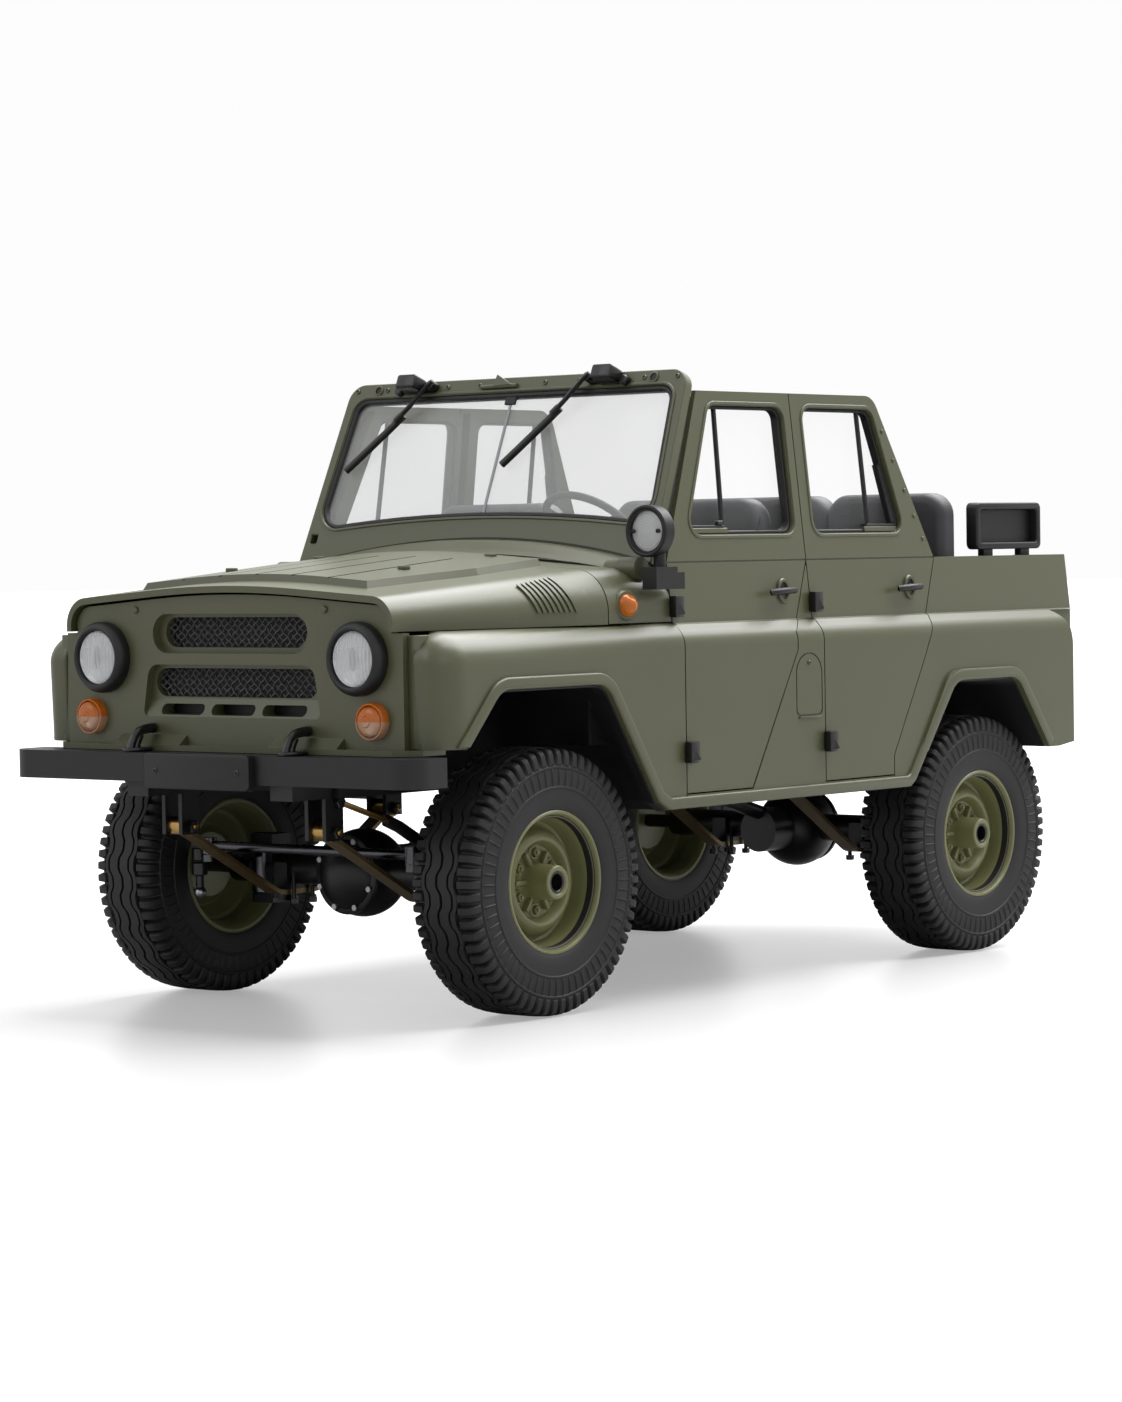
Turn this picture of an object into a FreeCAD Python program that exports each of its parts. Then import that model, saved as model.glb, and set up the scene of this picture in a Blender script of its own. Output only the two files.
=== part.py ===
import FreeCAD, Part
import math
import operator
import os
from FreeCAD import Placement, Rotation, Vector
from Sketcher import Constraint

# A scale model of an open army four-wheel-drive car, in millimetres.
# Front towards -Y, the driver's left side +X, +Z up, origin on the ground under the middle.

LENGTHS = {
    # wheels and tyres
    "front_axle_y": -125, "rear_axle_y": 113, "wheel_x": 70, "tyre_radius": 42.4,
    "tyre_half_width": 12.5, "tyre_shoulder_radius": 38,
    "tread_half_width": 11, "rim_radius": 22.8, "rim_half_width": 11.3, "rim_seat_radius": 20.3,
    "rim_well_radius": 17.6, "rim_wall": 1.6, "rim_lip": 1.5, "dish_radius": 13.5,
    "hub_radius": 5.4, "hub_bore_radius": 2.5, "hub_reach": 12.6, "stub_radius": 2.44,
    "disc_thick": 2,
    # steering
    "kingpin_x": 45, "kingpin_radius": 2, "knuckle_radius": 4.4, "knuckle_half_height": 8,
    "yoke_thick": 3, "steer_arm_reach": 26, "steer_arm_thick": 2.2, "steer_arm_width": 5,
    "tie_rod_radius": 1.6, "ball_radius": 2.6, "ball_pin_radius": 1.2, "pin_play": 0.05,
    "steer_arm_lift": 4.9, "tie_rod_lift": 4.1,
    # axles and springs
    "axle_tube_radius": 5, "diff_radius": 14.5, "diff_nose_reach": 24, "diff_nose_radius": 8,
    "spring_x": 31.5, "spring_width": 6, "leaf_thick": 1.6,
    "front_eye_z": 59.7, "front_heel_z": 60,
    "rear_toe_z": 60, "rear_eye_z": 60, "eye_radius": 2.4,
    "spring_bend_radius": 8, "hanger_thick": 1.5, "hanger_width": 8, "spring_clip_height": 1.5,
    "spring_drop": 6.4, "front_eye_reach": 52, "front_heel_reach": 45,
    "rear_toe_reach": 47, "rear_eye_reach": 48, "rail_end": 6,
    # frame, floor and drive
    "rail_x": 31.5, "rail_width": 9.4, "rail_low_z": 70.6, "rail_top_z": 79,
    "cross_thick": 6, "floor_thick": 2.5, "motor_half_width": 14, "motor_rear_y": -100,
    "motor_top_z": 112, "gear_front_y": -22, "gear_rear_y": 26, "gear_low_z": 62,
    "gear_half_width": 17, "shaft_radius": 2.6, "shaft_z": 67, "motor_gap": 27.5,
    # sides of the body
    "side_x": 88.5, "sill_z": 62.4, "door_low_z": 67.2, "shoulder_z": 117.5, "shoulder_radius": 7,
    "shoulder_edge_x": 84.6, "shoulder_edge_z": 121.8, "crease_x": 83.47, "crease_z": 122.3,
    "belt_z": 142, "frame_top_z": 198.4, "frame_top_x": 74.68, "side_wall": 5, "skin": 1.8,
    "door_rebate": 1.8, "seam": 0.5, "cowl_y": -98.3, "a_seam_y": -65.8,
    "b_seam_y": 10.6, "rocker_width": 5, "overrun": 2, "front_frame_y": -40.7,
    "front_rear_low_y": -31, "front_rear_mid_y": -4.8, "front_rear_mid_z": 112,
    "front_rear_neck_z": 118, "front_rear_crease_y": 1.2, "rear_top_y": 59.5, "rear_top_radius": 7,
    "rear_belt_y": 86.4, "rear_crease_y": 77.6, "rear_mid_y": 69.3, "rear_mid_z": 106.5,
    "rear_low_y": 50.3, "rear_low_z": 73.8, "window_low_z": 151, "window_top_z": 193.6,
    "window_corner": 4.5, "front_window_low_y": -53, "front_window_top_y": -34.8,
    "front_window_rear_y": 5.8, "rear_window_front_y": 17, "rear_window_top_y": 57.4,
    "rear_window_low_y": 70, "pane": 0.8, "pane_lap": 1.5, "hinge_height": 6, "hinge_length": 7.4,
    "hinge_proud": 2.6, "hinge_high_z": 127.7, "hinge_low_z": 80.5, "handle_z": 131.6,
    "handle_length": 13, "handle_proud": 4.4, "bulge_setback": 6, "bulge_round": 14,
    "corner_thick": 3, "flap_front_y": -6, "flap_rear_y": 8.9, "flap_low_z": 89.6,
    "flap_top_z": 110.8, "handle_bar_radius": 1.3, "escutcheon_radius": 3.2,
    "escutcheon_thick": 0.8,
    # wheel arches
    "front_arch_front_z": 87, "rear_arch_low_z": 72, "arch_corner": 9, "tail_low_z": 74.2,
    "well_wall": 2, "well_inner_x": 50, "front_well_x": 36.4, "front_arch_front_gap": 6.2,
    "front_arch_a_reach": 33, "front_arch_b_reach": 18, "front_arch_rear_gap": 10,
    "front_arch_room": 19.2, "rear_arch_front_gap": 11.6, "rear_arch_a_reach": 25,
    "rear_arch_b_reach": 14, "rear_arch_rear_lap": 7.9, "rear_arch_room": 13.6,
    "tail_corner_reach": 8, "flange_width": 3.7, "flange_proud": 1.1,
    # front end
    "panel_thick": 3, "fender_wall": 2.5, "fender_corner": 10,
    "bonnet_front_x": 71.5, "bonnet_rear_x": 83.2, "bonnet_side_z": 122.6, "bonnet_front_z": 138.2,
    "bonnet_rear_z": 146.3, "bonnet_front_edge_z": 132.9, "bonnet_rear_edge_z": 139.4,
    "bonnet_front_corner": 9, "bonnet_rear_corner": 14, "bonnet_crown_radius": 420,
    "bonnet_wall": 2.2, "headlamp_x": 56, "headlamp_z": 114.3, "headlamp_radius": 11,
    "headlamp_reach": 5.5, "lamp_ring": 2.3, "turn_x": 61.5, "turn_z": 95.2, "turn_radius": 5.4,
    "turn_reach": 4.5, "repeater_y": -89.5, "repeater_z": 128.5, "repeater_radius": 4.2,
    "grille_half_width": 31, "grille_low_z": 117.5, "grille_top_z": 127.1,
    "lower_grille_half_width": 35.5, "lower_grille_low_z": 101.8, "lower_grille_top_z": 110.9,
    "slot_half_width": 9.5, "slot_low_z": 96.1, "slot_top_z": 99.6, "slot_pitch": 22.3,
    "mesh_thick": 1, "mesh_lap": 2, "bumper_low_z": 75.5, "bumper_top_z": 84.6, "bumper_wall": 3,
    "bumper_corner": 8, "plate_half_width": 23, "plate_low_z": 73.6, "plate_top_z": 84.9,
    "hook_x": 34, "hook_width": 4.5, "hook_top_z": 92.5, "hook_bar": 2.4,
    "nose_step": 2, "nose_length": 11.9, "fender_width": 15, "nose_round": 11, "filler_width": 5.5, "bonnet_lip": 2.2, "bumper_reach": 13.5,
    "bumper_sweep": 16.4, "plate_thick": 2, "plate_corner": 1.2, "hook_foot_reach": 0.4,
    "hook_heel_reach": 8.6, "hook_tip_reach": 12.9, "hook_foot_width": 6, "hook_foot_thick": 1.6,
    "scoop_low_half": 39, "scoop_top_half": 36, "scoop_low_z": 95.5, "scoop_top_z": 112.1,
    "recess_half_width": 34, "recess_low_z": 115.7, "recess_top_z": 128.2, "recess_margin": 3,
    "grille_depth": 3.5, "ledge_low_z": 84.8, "ledge_half_width": 79, "ledge_corner": 7,
    "ledge_reach": 4.3, "ledge_length": 12.5, "wedge_half_width": 14.65, "wedge_height": 3.2,
    "raised_height": 2.1, "raised_setback": 9.2, "raised_slope": 10.8, "raised_front_half": 53.2,
    "raised_mid_half": 61.4, "raised_mid_y": -130, "raised_rear_half": 62.6, "rib_pitch": 16,
    "rib_width": 1.2, "rib_depth": 0.5, "louvre_front_y": -134, "louvre_pitch": 2.3,
    "louvre_width": 1.2, "louvre_lean": 5, "louvre_low_z": 127, "louvre_top_z": 139,
    "louvre_in_x": 74, "louvre_height": 0.6, "lens_dome": 1.6,
    # windscreen
    "screen_low_y": -69.1, "screen_low_z": 146.6, "screen_low_x": 78.6, "screen_top_x": 74.2,
    "screen_wall": 4, "screen_corner": 7, "screen_bar": 7.5, "screen_low_bar": 10,
    "screen_glass": 1.2, "wiper_x": 43.6, "wiper_motor_width": 9, "wiper_motor_height": 4.5,
    "wiper_motor_depth": 7, "cowl_rear_y": -66.4, "cowl_wall": 3, "toe_run": 19, "toe_rise": 15,
    "screen_run": 23.7, "screen_rise": 57.6, "screen_foot": 7.8, "boss_y": -77.5, "boss_z": 140.2,
    "boss_in_x": 66.5, "boss_small_radius": 2.9, "boss_small_length": 5.8, "boss_large_radius": 3.8,
    "boss_large_length": 7.7,
    # search lamp
    "search_x": 82.6, "search_z": 152.2, "search_radius": 8.4, "search_front_y": -78,
    "search_depth": 8.5, "bracket_low_z": 133.4, "bracket_top_z": 140.6, "bracket_front_y": -81,
    "bracket_out_x": 89, "bracket_in_x": 83.2, "stem_radius": 2, "bracket_step_y": -70,
    # cabin
    "dash_rear_y": -56, "dash_low_z": 118, "dash_half_width": 73.2, "wheel_centre_x": 33,
    "wheel_centre_y": -40.5, "wheel_centre_z": 159.5, "wheel_ring_radius": 16.5,
    "wheel_bar_radius": 1.3, "column_radius": 1.8, "column_reach": 33, "seat_x": 40,
    "seat_half_width": 25, "seat_front_y": -46, "seat_rear_y": 4, "seat_low_z": 96,
    "cushion_top_z": 112, "seat_back_top_z": 162.8, "seat_back_thick": 9, "seat_leg": 6,
    "bench_half_width": 75.4, "bench_front_y": 62, "bench_rear_y": 107.5, "bench_low_z": 103.5,
    "bench_top_z": 163, "bench_gap_x": 20, "bench_gap": 1, "jump_front_y": 117, "jump_rear_y": 160,
    "jump_low_z": 144.5, "jump_top_z": 161, "jump_x": 76, "jump_thick": 4, "jump_post_y": 8,
    "jump_post_radius": 1.5,
    # tail
    "tail_reach": 24, "tailgate_thick": 4, "tailgate_half_width": 60, "tailgate_low_z": 72.5,
    "spare_z": 97.2, "spare_gap": 0.3, "tail_lamp_x": 70,
    "tail_lamp_z": 100,
}

WHEEL_LEAN = 40
LOUVRES = 8


class Size:
    """A length: the text that binds it to the sheet, and its value now."""

    def __init__(self, text, value):
        self.text = text
        self.value = value

    def __add__(self, other):
        return joined(self, "+", other)

    def __radd__(self, other):
        return joined(other, "+", self)

    def __sub__(self, other):
        return joined(self, "-", other)

    def __rsub__(self, other):
        return joined(other, "-", self)

    def __mul__(self, other):
        return joined(self, "*", other)

    def __rmul__(self, other):
        return joined(other, "*", self)

    def __truediv__(self, other):
        return joined(self, "/", other)

    def __neg__(self):
        return joined(0, "-", self)

    def __float__(self):
        return float(self.value)


ACTIONS = {"+": operator.add, "-": operator.sub, "*": operator.mul, "/": operator.truediv}


def text_of(value):
    return value.text if isinstance(value, Size) else repr(value)


def number(value):
    return float(value)


def joined(first, sign, second):
    text = "(%s %s %s)" % (text_of(first), sign, text_of(second))
    return Size(text, ACTIONS[sign](number(first), number(second)))


doc = FreeCAD.newDocument("ScaleArmyCar")
sheet = doc.addObject("Spreadsheet::Sheet", "Sizes")


class Lengths:
    """The sheet's cells by their aliases, each as a Size."""


def fill_sheet():
    """Put every driving length in the sheet, as a plain number with an alias."""
    named = Lengths()
    for row, (name, value) in enumerate(LENGTHS.items(), start=1):
        sheet.set("A%d" % row, name)
        sheet.set("B%d" % row, str(value))
        sheet.setAlias("B%d" % row, name)
        setattr(named, name, Size("Sizes." + name, value))
    doc.recompute()
    return named


L = fill_sheet()
PARTS = {}


def derive():
    """Places that follow the driving lengths."""
    wheel = L.tyre_radius
    front, rear = L.front_axle_y, L.rear_axle_y
    L.front_arch_front_y = front - wheel - L.front_arch_front_gap
    L.panel_y = L.front_arch_front_y - L.nose_length
    L.panel_half_width = L.side_x - L.fender_width
    L.fender_front_y = L.panel_y + L.nose_step
    L.bonnet_front_y = L.panel_y - L.bonnet_lip
    L.bumper_y = L.panel_y - L.bumper_reach
    L.bumper_end_y = L.bumper_y + L.bumper_sweep
    L.bumper_half_width = L.side_x - L.seam
    L.plate_y = L.bumper_y - L.plate_thick
    L.hook_foot_y = L.bumper_y + L.hook_foot_reach
    L.hook_heel_y = L.bumper_y + L.hook_heel_reach
    L.hook_tip_y = L.bumper_y + L.hook_tip_reach
    L.rail_front_y = L.bumper_y + L.bumper_wall
    L.motor_front_y = L.panel_y + L.motor_gap
    L.steer_arm_z = wheel + L.steer_arm_lift
    L.tie_rod_z = L.steer_arm_z + L.tie_rod_lift
    L.spring_seat_z = wheel - L.spring_drop
    L.front_eye_y = front - L.front_eye_reach
    L.front_heel_y = front + L.front_heel_reach
    L.rear_toe_y = rear - L.rear_toe_reach
    L.rear_eye_y = rear + L.rear_eye_reach
    L.rail_rear_y = L.rear_eye_y + L.rail_end
    L.front_arch_a_y = front - L.front_arch_a_reach
    L.front_arch_b_y = front + L.front_arch_b_reach
    L.front_arch_rear_y = front + wheel + L.front_arch_rear_gap
    L.front_arch_top_z = wheel * 2 + L.front_arch_room
    L.rear_arch_front_y = rear - wheel - L.rear_arch_front_gap
    L.rear_arch_a_y = rear - L.rear_arch_a_reach
    L.rear_arch_b_y = rear + L.rear_arch_b_reach
    L.rear_arch_rear_y = rear + wheel - L.rear_arch_rear_lap
    L.rear_arch_top_z = wheel * 2 + L.rear_arch_room
    L.tail_corner_y = L.rear_arch_rear_y + L.tail_corner_reach
    L.tail_y = L.rear_arch_rear_y + L.tail_reach


derive()

TURNS = {
    "XY": Rotation(),
    "XZ": Rotation(Vector(1, 0, 0), 90),
    "YZ": Rotation(Vector(1, 1, 1), 120),
}
AXIS_TURNS = {
    "X": Rotation(Vector(0, 1, 0), 90),
    "Y": Rotation(Vector(1, 0, 0), -90),
    "Z": Rotation(),
}
NORMAL_AXIS = {"XY": "z", "XZ": "y", "YZ": "x"}


def bind(thing, **sizes):
    """Bind properties to sizes; a double underscore stands for a dot."""
    for name, size in sizes.items():
        path = name.replace("__", ".")
        thing.setExpression(path, text_of(size))


def place(thing, at, turn=Rotation()):
    thing.Placement = Placement(Vector(*[number(value) for value in at]), turn)
    bind(thing, Placement__Base__x=at[0], Placement__Base__y=at[1], Placement__Base__z=at[2])


def kept(label, thing):
    """Name a finished sub-part."""
    thing.Label = label
    PARTS[label] = thing
    return thing


def lock_point(sketch, geometry, position, u, v):
    """Hold a point of the sketch at its named place."""
    for kind, axis, value in (("DistanceX", -2, u), ("DistanceY", -1, v)):
        if not isinstance(value, Size) and value == 0:
            sketch.addConstraint(Constraint("PointOnObject", geometry, position, axis))
            continue
        index = sketch.addConstraint(Constraint(kind, -1, 1, geometry, position, number(value)))
        sketch.setExpression("Constraints[%d]" % index, text_of(value))


def corner_arc(before, here, after, radius):
    """Entry, exit, centre and turning sense of the arc that rounds a corner."""
    way_in = (here - before).normalize()
    way_out = (after - here).normalize()
    turn = math.atan2(way_in.x * way_out.y - way_in.y * way_out.x, way_in.dot(way_out))
    reach = radius * math.tan(abs(turn) / 2)
    start = here - way_in * reach
    end = here + way_out * reach
    side = 1 if turn > 0 else -1
    centre = start + Vector(-way_in.y, way_in.x, 0) * radius * side
    return start, end, centre, side


def add_outline(sketch, outline):
    """Draw a closed outline of (u, v) or (u, v, radius) corners, all bound to the sheet."""
    corners = [Vector(number(point[0]), number(point[1]), 0) for point in outline]
    count = len(corners)
    arcs = {}
    for index, point in enumerate(outline):
        if len(point) == 3:
            before, after = corners[index - 1], corners[(index + 1) % count]
            arcs[index] = corner_arc(before, corners[index], after, number(point[2]))
    lines = []
    for index in range(count):
        following = (index + 1) % count
        start = arcs[index][1] if index in arcs else corners[index]
        end = arcs[following][0] if following in arcs else corners[following]
        lines.append(sketch.addGeometry(Part.LineSegment(start, end)))
    for index, point in enumerate(outline):
        line_in, line_out = lines[index - 1], lines[index]
        if index not in arcs:
            sketch.addConstraint(Constraint("Coincident", line_in, 2, line_out, 1))
            lock_point(sketch, line_out, 1, point[0], point[1])
            continue
        start, end, centre, side = arcs[index]
        from_angle = math.atan2(start.y - centre.y, start.x - centre.x)
        to_angle = math.atan2(end.y - centre.y, end.x - centre.x)
        angles = (from_angle, to_angle) if side > 0 else (to_angle, from_angle)
        circle = Part.Circle(centre, Vector(0, 0, 1), number(point[2]))
        arc = sketch.addGeometry(Part.ArcOfCircle(circle, *angles))
        first, last = (1, 2) if side > 0 else (2, 1)
        sketch.addConstraint(Constraint("Tangent", line_in, 2, arc, first))
        sketch.addConstraint(Constraint("Tangent", line_out, 1, arc, last))
        radius = sketch.addConstraint(Constraint("Radius", arc, number(point[2])))
        sketch.setExpression("Constraints[%d]" % radius, text_of(point[2]))
        spot = sketch.addGeometry(Part.Point(corners[index]), True)
        sketch.addConstraint(Constraint("PointOnObject", spot, 1, line_in))
        sketch.addConstraint(Constraint("PointOnObject", spot, 1, line_out))
        lock_point(sketch, spot, 1, point[0], point[1])


def add_circle(sketch, u, v, radius):
    centre = Vector(number(u), number(v), 0)
    ring = sketch.addGeometry(Part.Circle(centre, Vector(0, 0, 1), number(radius)))
    lock_point(sketch, ring, 3, u, v)
    index = sketch.addConstraint(Constraint("Radius", ring, number(radius)))
    sketch.setExpression("Constraints[%d]" % index, text_of(radius))


def drawn(name, plane, outlines, circles=(), offset=0):
    """A sketch on a plane of the frame, moved along the plane's normal."""
    sketch = doc.addObject("Sketcher::SketchObject", name + "_sketch")
    at = {"x": 0, "y": 0, "z": 0}
    at[NORMAL_AXIS[plane]] = offset
    place(sketch, (at["x"], at["y"], at["z"]), TURNS[plane])
    for outline in outlines:
        add_outline(sketch, outline)
    for circle in circles:
        add_circle(sketch, *circle)
    return sketch


def prism(name, plane, outlines, start, end, circles=()):
    """Outlines raised from start to end along the third axis of the frame."""
    offset = end if plane == "XZ" else start
    solid = doc.addObject("Part::Extrusion", name)
    solid.Base = drawn(name, plane, outlines, circles, offset)
    solid.DirMode = "Normal"
    solid.Solid = True
    bind(solid, LengthFwd=end - start)
    return solid


def turned(name, outline):
    """An outline of (x, radius) corners, turned about the X axis."""
    solid = doc.addObject("Part::Revolution", name)
    sketch = drawn(name, "XY", [outline])
    solid.Source = sketch
    solid.Axis = Vector(1, 0, 0)
    solid.Solid = True
    solid.Angle = 360
    return solid


def box(name, x, y, z):
    """A box between pairs of places."""
    solid = doc.addObject("Part::Box", name)
    place(solid, (x[0], y[0], z[0]))
    bind(solid, Length=x[1] - x[0], Width=y[1] - y[0], Height=z[1] - z[0])
    return solid


def rod(name, axis, start, radius, length):
    """A round bar from start along an axis of the frame."""
    solid = doc.addObject("Part::Cylinder", name)
    place(solid, start, AXIS_TURNS[axis])
    bind(solid, Radius=radius, Height=length)
    return solid


def fused(name, *pieces):
    solid = doc.addObject("Part::MultiFuse", name)
    solid.Shapes = list(pieces)
    return solid


def shared(name, *pieces):
    solid = doc.addObject("Part::MultiCommon", name)
    solid.Shapes = list(pieces)
    return solid


def cut(name, base, *tools):
    solid = doc.addObject("Part::Cut", name)
    solid.Base = base
    solid.Tool = tools[0] if len(tools) == 1 else fused(name + "_tools", *tools)
    return solid


def group(name, *pieces):
    """Separate solids that share one sub-part."""
    solid = doc.addObject("Part::Compound", name)
    solid.Links = list(pieces)
    return solid


def mirrored(name, source):
    """The same piece on the other side of the car."""
    solid = doc.addObject("Part::Mirroring", name)
    solid.Source = source
    solid.Normal = Vector(1, 0, 0)
    return solid


def pair(name, source):
    return group(name, source, mirrored(name + "_right", source))


def both_sides(points):
    """Corners on the left, then the same corners mirrored to close the outline."""
    right = [(-point[0],) + tuple(point[1:]) for point in reversed(points)]
    return list(points) + right


def mirrored_middle(points, middle):
    """Corners on the left, one corner on the middle line, then the mirrored corners."""
    right = [(-point[0],) + tuple(point[1:]) for point in reversed(points)]
    return list(points) + [middle] + right


def upright_x(z):
    """The body side's outer face above the crease, at a height."""
    lean = (L.crease_x - L.frame_top_x) / (L.frame_top_z - L.crease_z)
    return L.crease_x - lean * (z - L.crease_z)


def side_profile(outer, thick, low, top):
    """Section of the body side in x and z: upright, shouldered, then leaning in."""
    top_x = upright_x(top) - (L.side_x - outer)
    return [
        (outer - thick, low),
        (outer, low),
        (outer, L.shoulder_z, L.shoulder_radius),
        (L.shoulder_edge_x - (L.side_x - outer), L.shoulder_edge_z),
        (L.crease_x - (L.side_x - outer), L.crease_z),
        (top_x, top),
        (top_x - thick, top),
        (L.crease_x - (L.side_x - outer) - thick, L.crease_z),
        (outer - thick, L.shoulder_z - thick),
    ]


def front_door_outline(grow):
    """The front door's edge in y and z, grown on every side."""
    return [
        (L.a_seam_y - grow, L.door_low_z - grow),
        (L.a_seam_y - grow, L.belt_z),
        (L.front_frame_y - grow, L.frame_top_z + grow),
        (L.b_seam_y - L.seam + grow, L.frame_top_z + grow),
        (L.b_seam_y - L.seam + grow, L.belt_z),
        (L.front_rear_crease_y + grow, L.crease_z),
        (L.front_rear_mid_y + grow, L.front_rear_neck_z),
        (L.front_rear_mid_y + grow, L.front_rear_mid_z),
        (L.front_rear_low_y + grow, L.door_low_z - grow),
    ]


def rear_door_outline(grow):
    return [
        (L.b_seam_y - grow, L.door_low_z - grow),
        (L.b_seam_y - grow, L.frame_top_z + grow),
        (L.rear_top_y + grow, L.frame_top_z + grow, L.rear_top_radius),
        (L.rear_belt_y + grow, L.belt_z),
        (L.rear_crease_y + grow, L.crease_z),
        (L.rear_mid_y + grow, L.rear_mid_z),
        (L.rear_low_y + grow, L.rear_low_z),
        (L.rear_low_y + grow, L.door_low_z - grow),
    ]


def front_window_outline(grow):
    return [
        (L.front_window_low_y - grow, L.window_low_z - grow, L.window_corner),
        (L.front_window_top_y - grow, L.window_top_z + grow, L.window_corner),
        (L.front_window_rear_y + grow, L.window_top_z + grow, L.window_corner),
        (L.front_window_rear_y + grow, L.window_low_z - grow, L.window_corner),
    ]


def rear_window_outline(grow):
    return [
        (L.rear_window_front_y - grow, L.window_low_z - grow, L.window_corner),
        (L.rear_window_front_y - grow, L.window_top_z + grow, L.window_corner),
        (L.rear_window_top_y + grow, L.window_top_z + grow, L.window_corner),
        (L.rear_window_low_y + grow, L.window_low_z - grow, L.window_corner),
    ]


def door(name, outline, window, seam_y, handle_y):
    """A door shell with its window frame, its pane, and its hinges and handle."""
    edge_in = L.side_x / 2
    edge_out = L.side_x + L.overrun
    ends = (L.a_seam_y - L.overrun * 4, L.tail_y)
    skin = shared(
        name + "_skin",
        prism(name + "_skin_section", "XZ",
              [side_profile(L.side_x, L.skin, L.sill_z, L.frame_top_z + L.overrun)], *ends),
        prism(name + "_skin_edge", "YZ", [outline(0)], edge_in, edge_out),
    )
    core = shared(
        name + "_core",
        prism(name + "_core_section", "XZ",
              [side_profile(L.side_x, L.side_wall, L.sill_z, L.frame_top_z)], *ends),
        prism(name + "_core_edge", "YZ", [outline(-L.door_rebate)], edge_in, edge_out),
    )
    opening = prism(name + "_opening", "YZ", [window(0)], edge_in, edge_out)
    groove = box(name + "_belt_groove", (upright_x(L.belt_z) - L.seam, edge_out), ends,
                 (L.belt_z - L.seam / 2, L.belt_z + L.seam / 2))
    shell = kept(name, cut(name, fused(name + "_solid", skin, core), opening, groove))
    pane_section = side_profile(L.side_x - L.side_wall, L.pane, L.sill_z, L.frame_top_z)
    pane = kept(name.replace("door", "window"), shared(
        name + "_pane",
        prism(name + "_pane_section", "XZ", [pane_section], *ends),
        prism(name + "_pane_edge", "YZ", [window(L.pane_lap)], edge_in, edge_out),
    ))
    trims = []
    for number_of, level in enumerate((L.hinge_high_z, L.hinge_low_z)):
        trims.append(box("%s_hinge_%d" % (name, number_of),
                         (L.frame_top_x, L.side_x + L.hinge_proud),
                         (seam_y + L.seam, seam_y + L.hinge_length),
                         (level - L.hinge_height / 2, level + L.hinge_height / 2)))
    bar_x = L.crease_x + L.handle_proud - L.handle_bar_radius
    wall_x = upright_x(L.handle_z)
    trims += [
        rod(name + "_handle", "Y", (bar_x, handle_y - L.handle_length / 2, L.handle_z),
            L.handle_bar_radius, L.handle_length),
        rod(name + "_handle_stem", "X", (L.frame_top_x, handle_y, L.handle_z),
            L.handle_bar_radius, bar_x - L.frame_top_x),
        rod(name + "_escutcheon", "X", (L.frame_top_x, handle_y, L.handle_z),
            L.escutcheon_radius, wall_x + L.escutcheon_thick - L.frame_top_x)]
    behind = prism(name + "_behind", "XZ",
                   [side_profile(L.side_x, L.side_wall * 3, L.sill_z, L.frame_top_z)], *ends)
    fittings = kept(name + "_fittings",
                    cut(name + "_fittings", fused(name + "_trims", *trims), behind))
    return shell, pane, fittings


def doors():
    front = door("door_front_left", front_door_outline, front_window_outline, L.a_seam_y,
                 L.front_rear_mid_y)
    rear = door("door_rear_left", rear_door_outline, rear_window_outline, L.b_seam_y,
                L.rear_mid_y)
    for pieces in (front, rear):
        for piece in pieces:
            label = piece.Label.replace("left", "right")
            kept(label, mirrored(label, piece))


def front_arch(grow):
    return [
        (L.front_arch_front_y - L.overrun * 6, L.front_arch_front_z - grow),
        (L.front_arch_front_y - grow, L.front_arch_front_z - grow, L.overrun),
        (L.front_arch_a_y - grow, L.front_arch_top_z + grow, L.arch_corner),
        (L.front_arch_b_y + grow, L.front_arch_top_z + grow, L.arch_corner),
        (L.front_arch_rear_y - L.front_well_x / 4 + grow, L.sill_z + L.bumper_wall, L.overrun * 2),
        (L.front_arch_rear_y + grow, L.sill_z - L.overrun),
        (L.front_arch_front_y - L.overrun * 6, L.sill_z - L.overrun),
    ]


def rear_arch(grow):
    return [
        (L.rear_arch_front_y - grow, L.sill_z - L.overrun),
        (L.rear_arch_a_y - grow, L.rear_arch_top_z + grow, L.arch_corner),
        (L.rear_arch_b_y + grow, L.rear_arch_top_z + grow, L.arch_corner),
        (L.rear_arch_rear_y + grow, L.rear_arch_low_z, L.overrun),
        (L.tail_corner_y, L.rear_arch_low_z),
        (L.tail_y + L.overrun, L.tail_low_z),
        (L.tail_y + L.overrun, L.sill_z - L.overrun),
    ]


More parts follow.
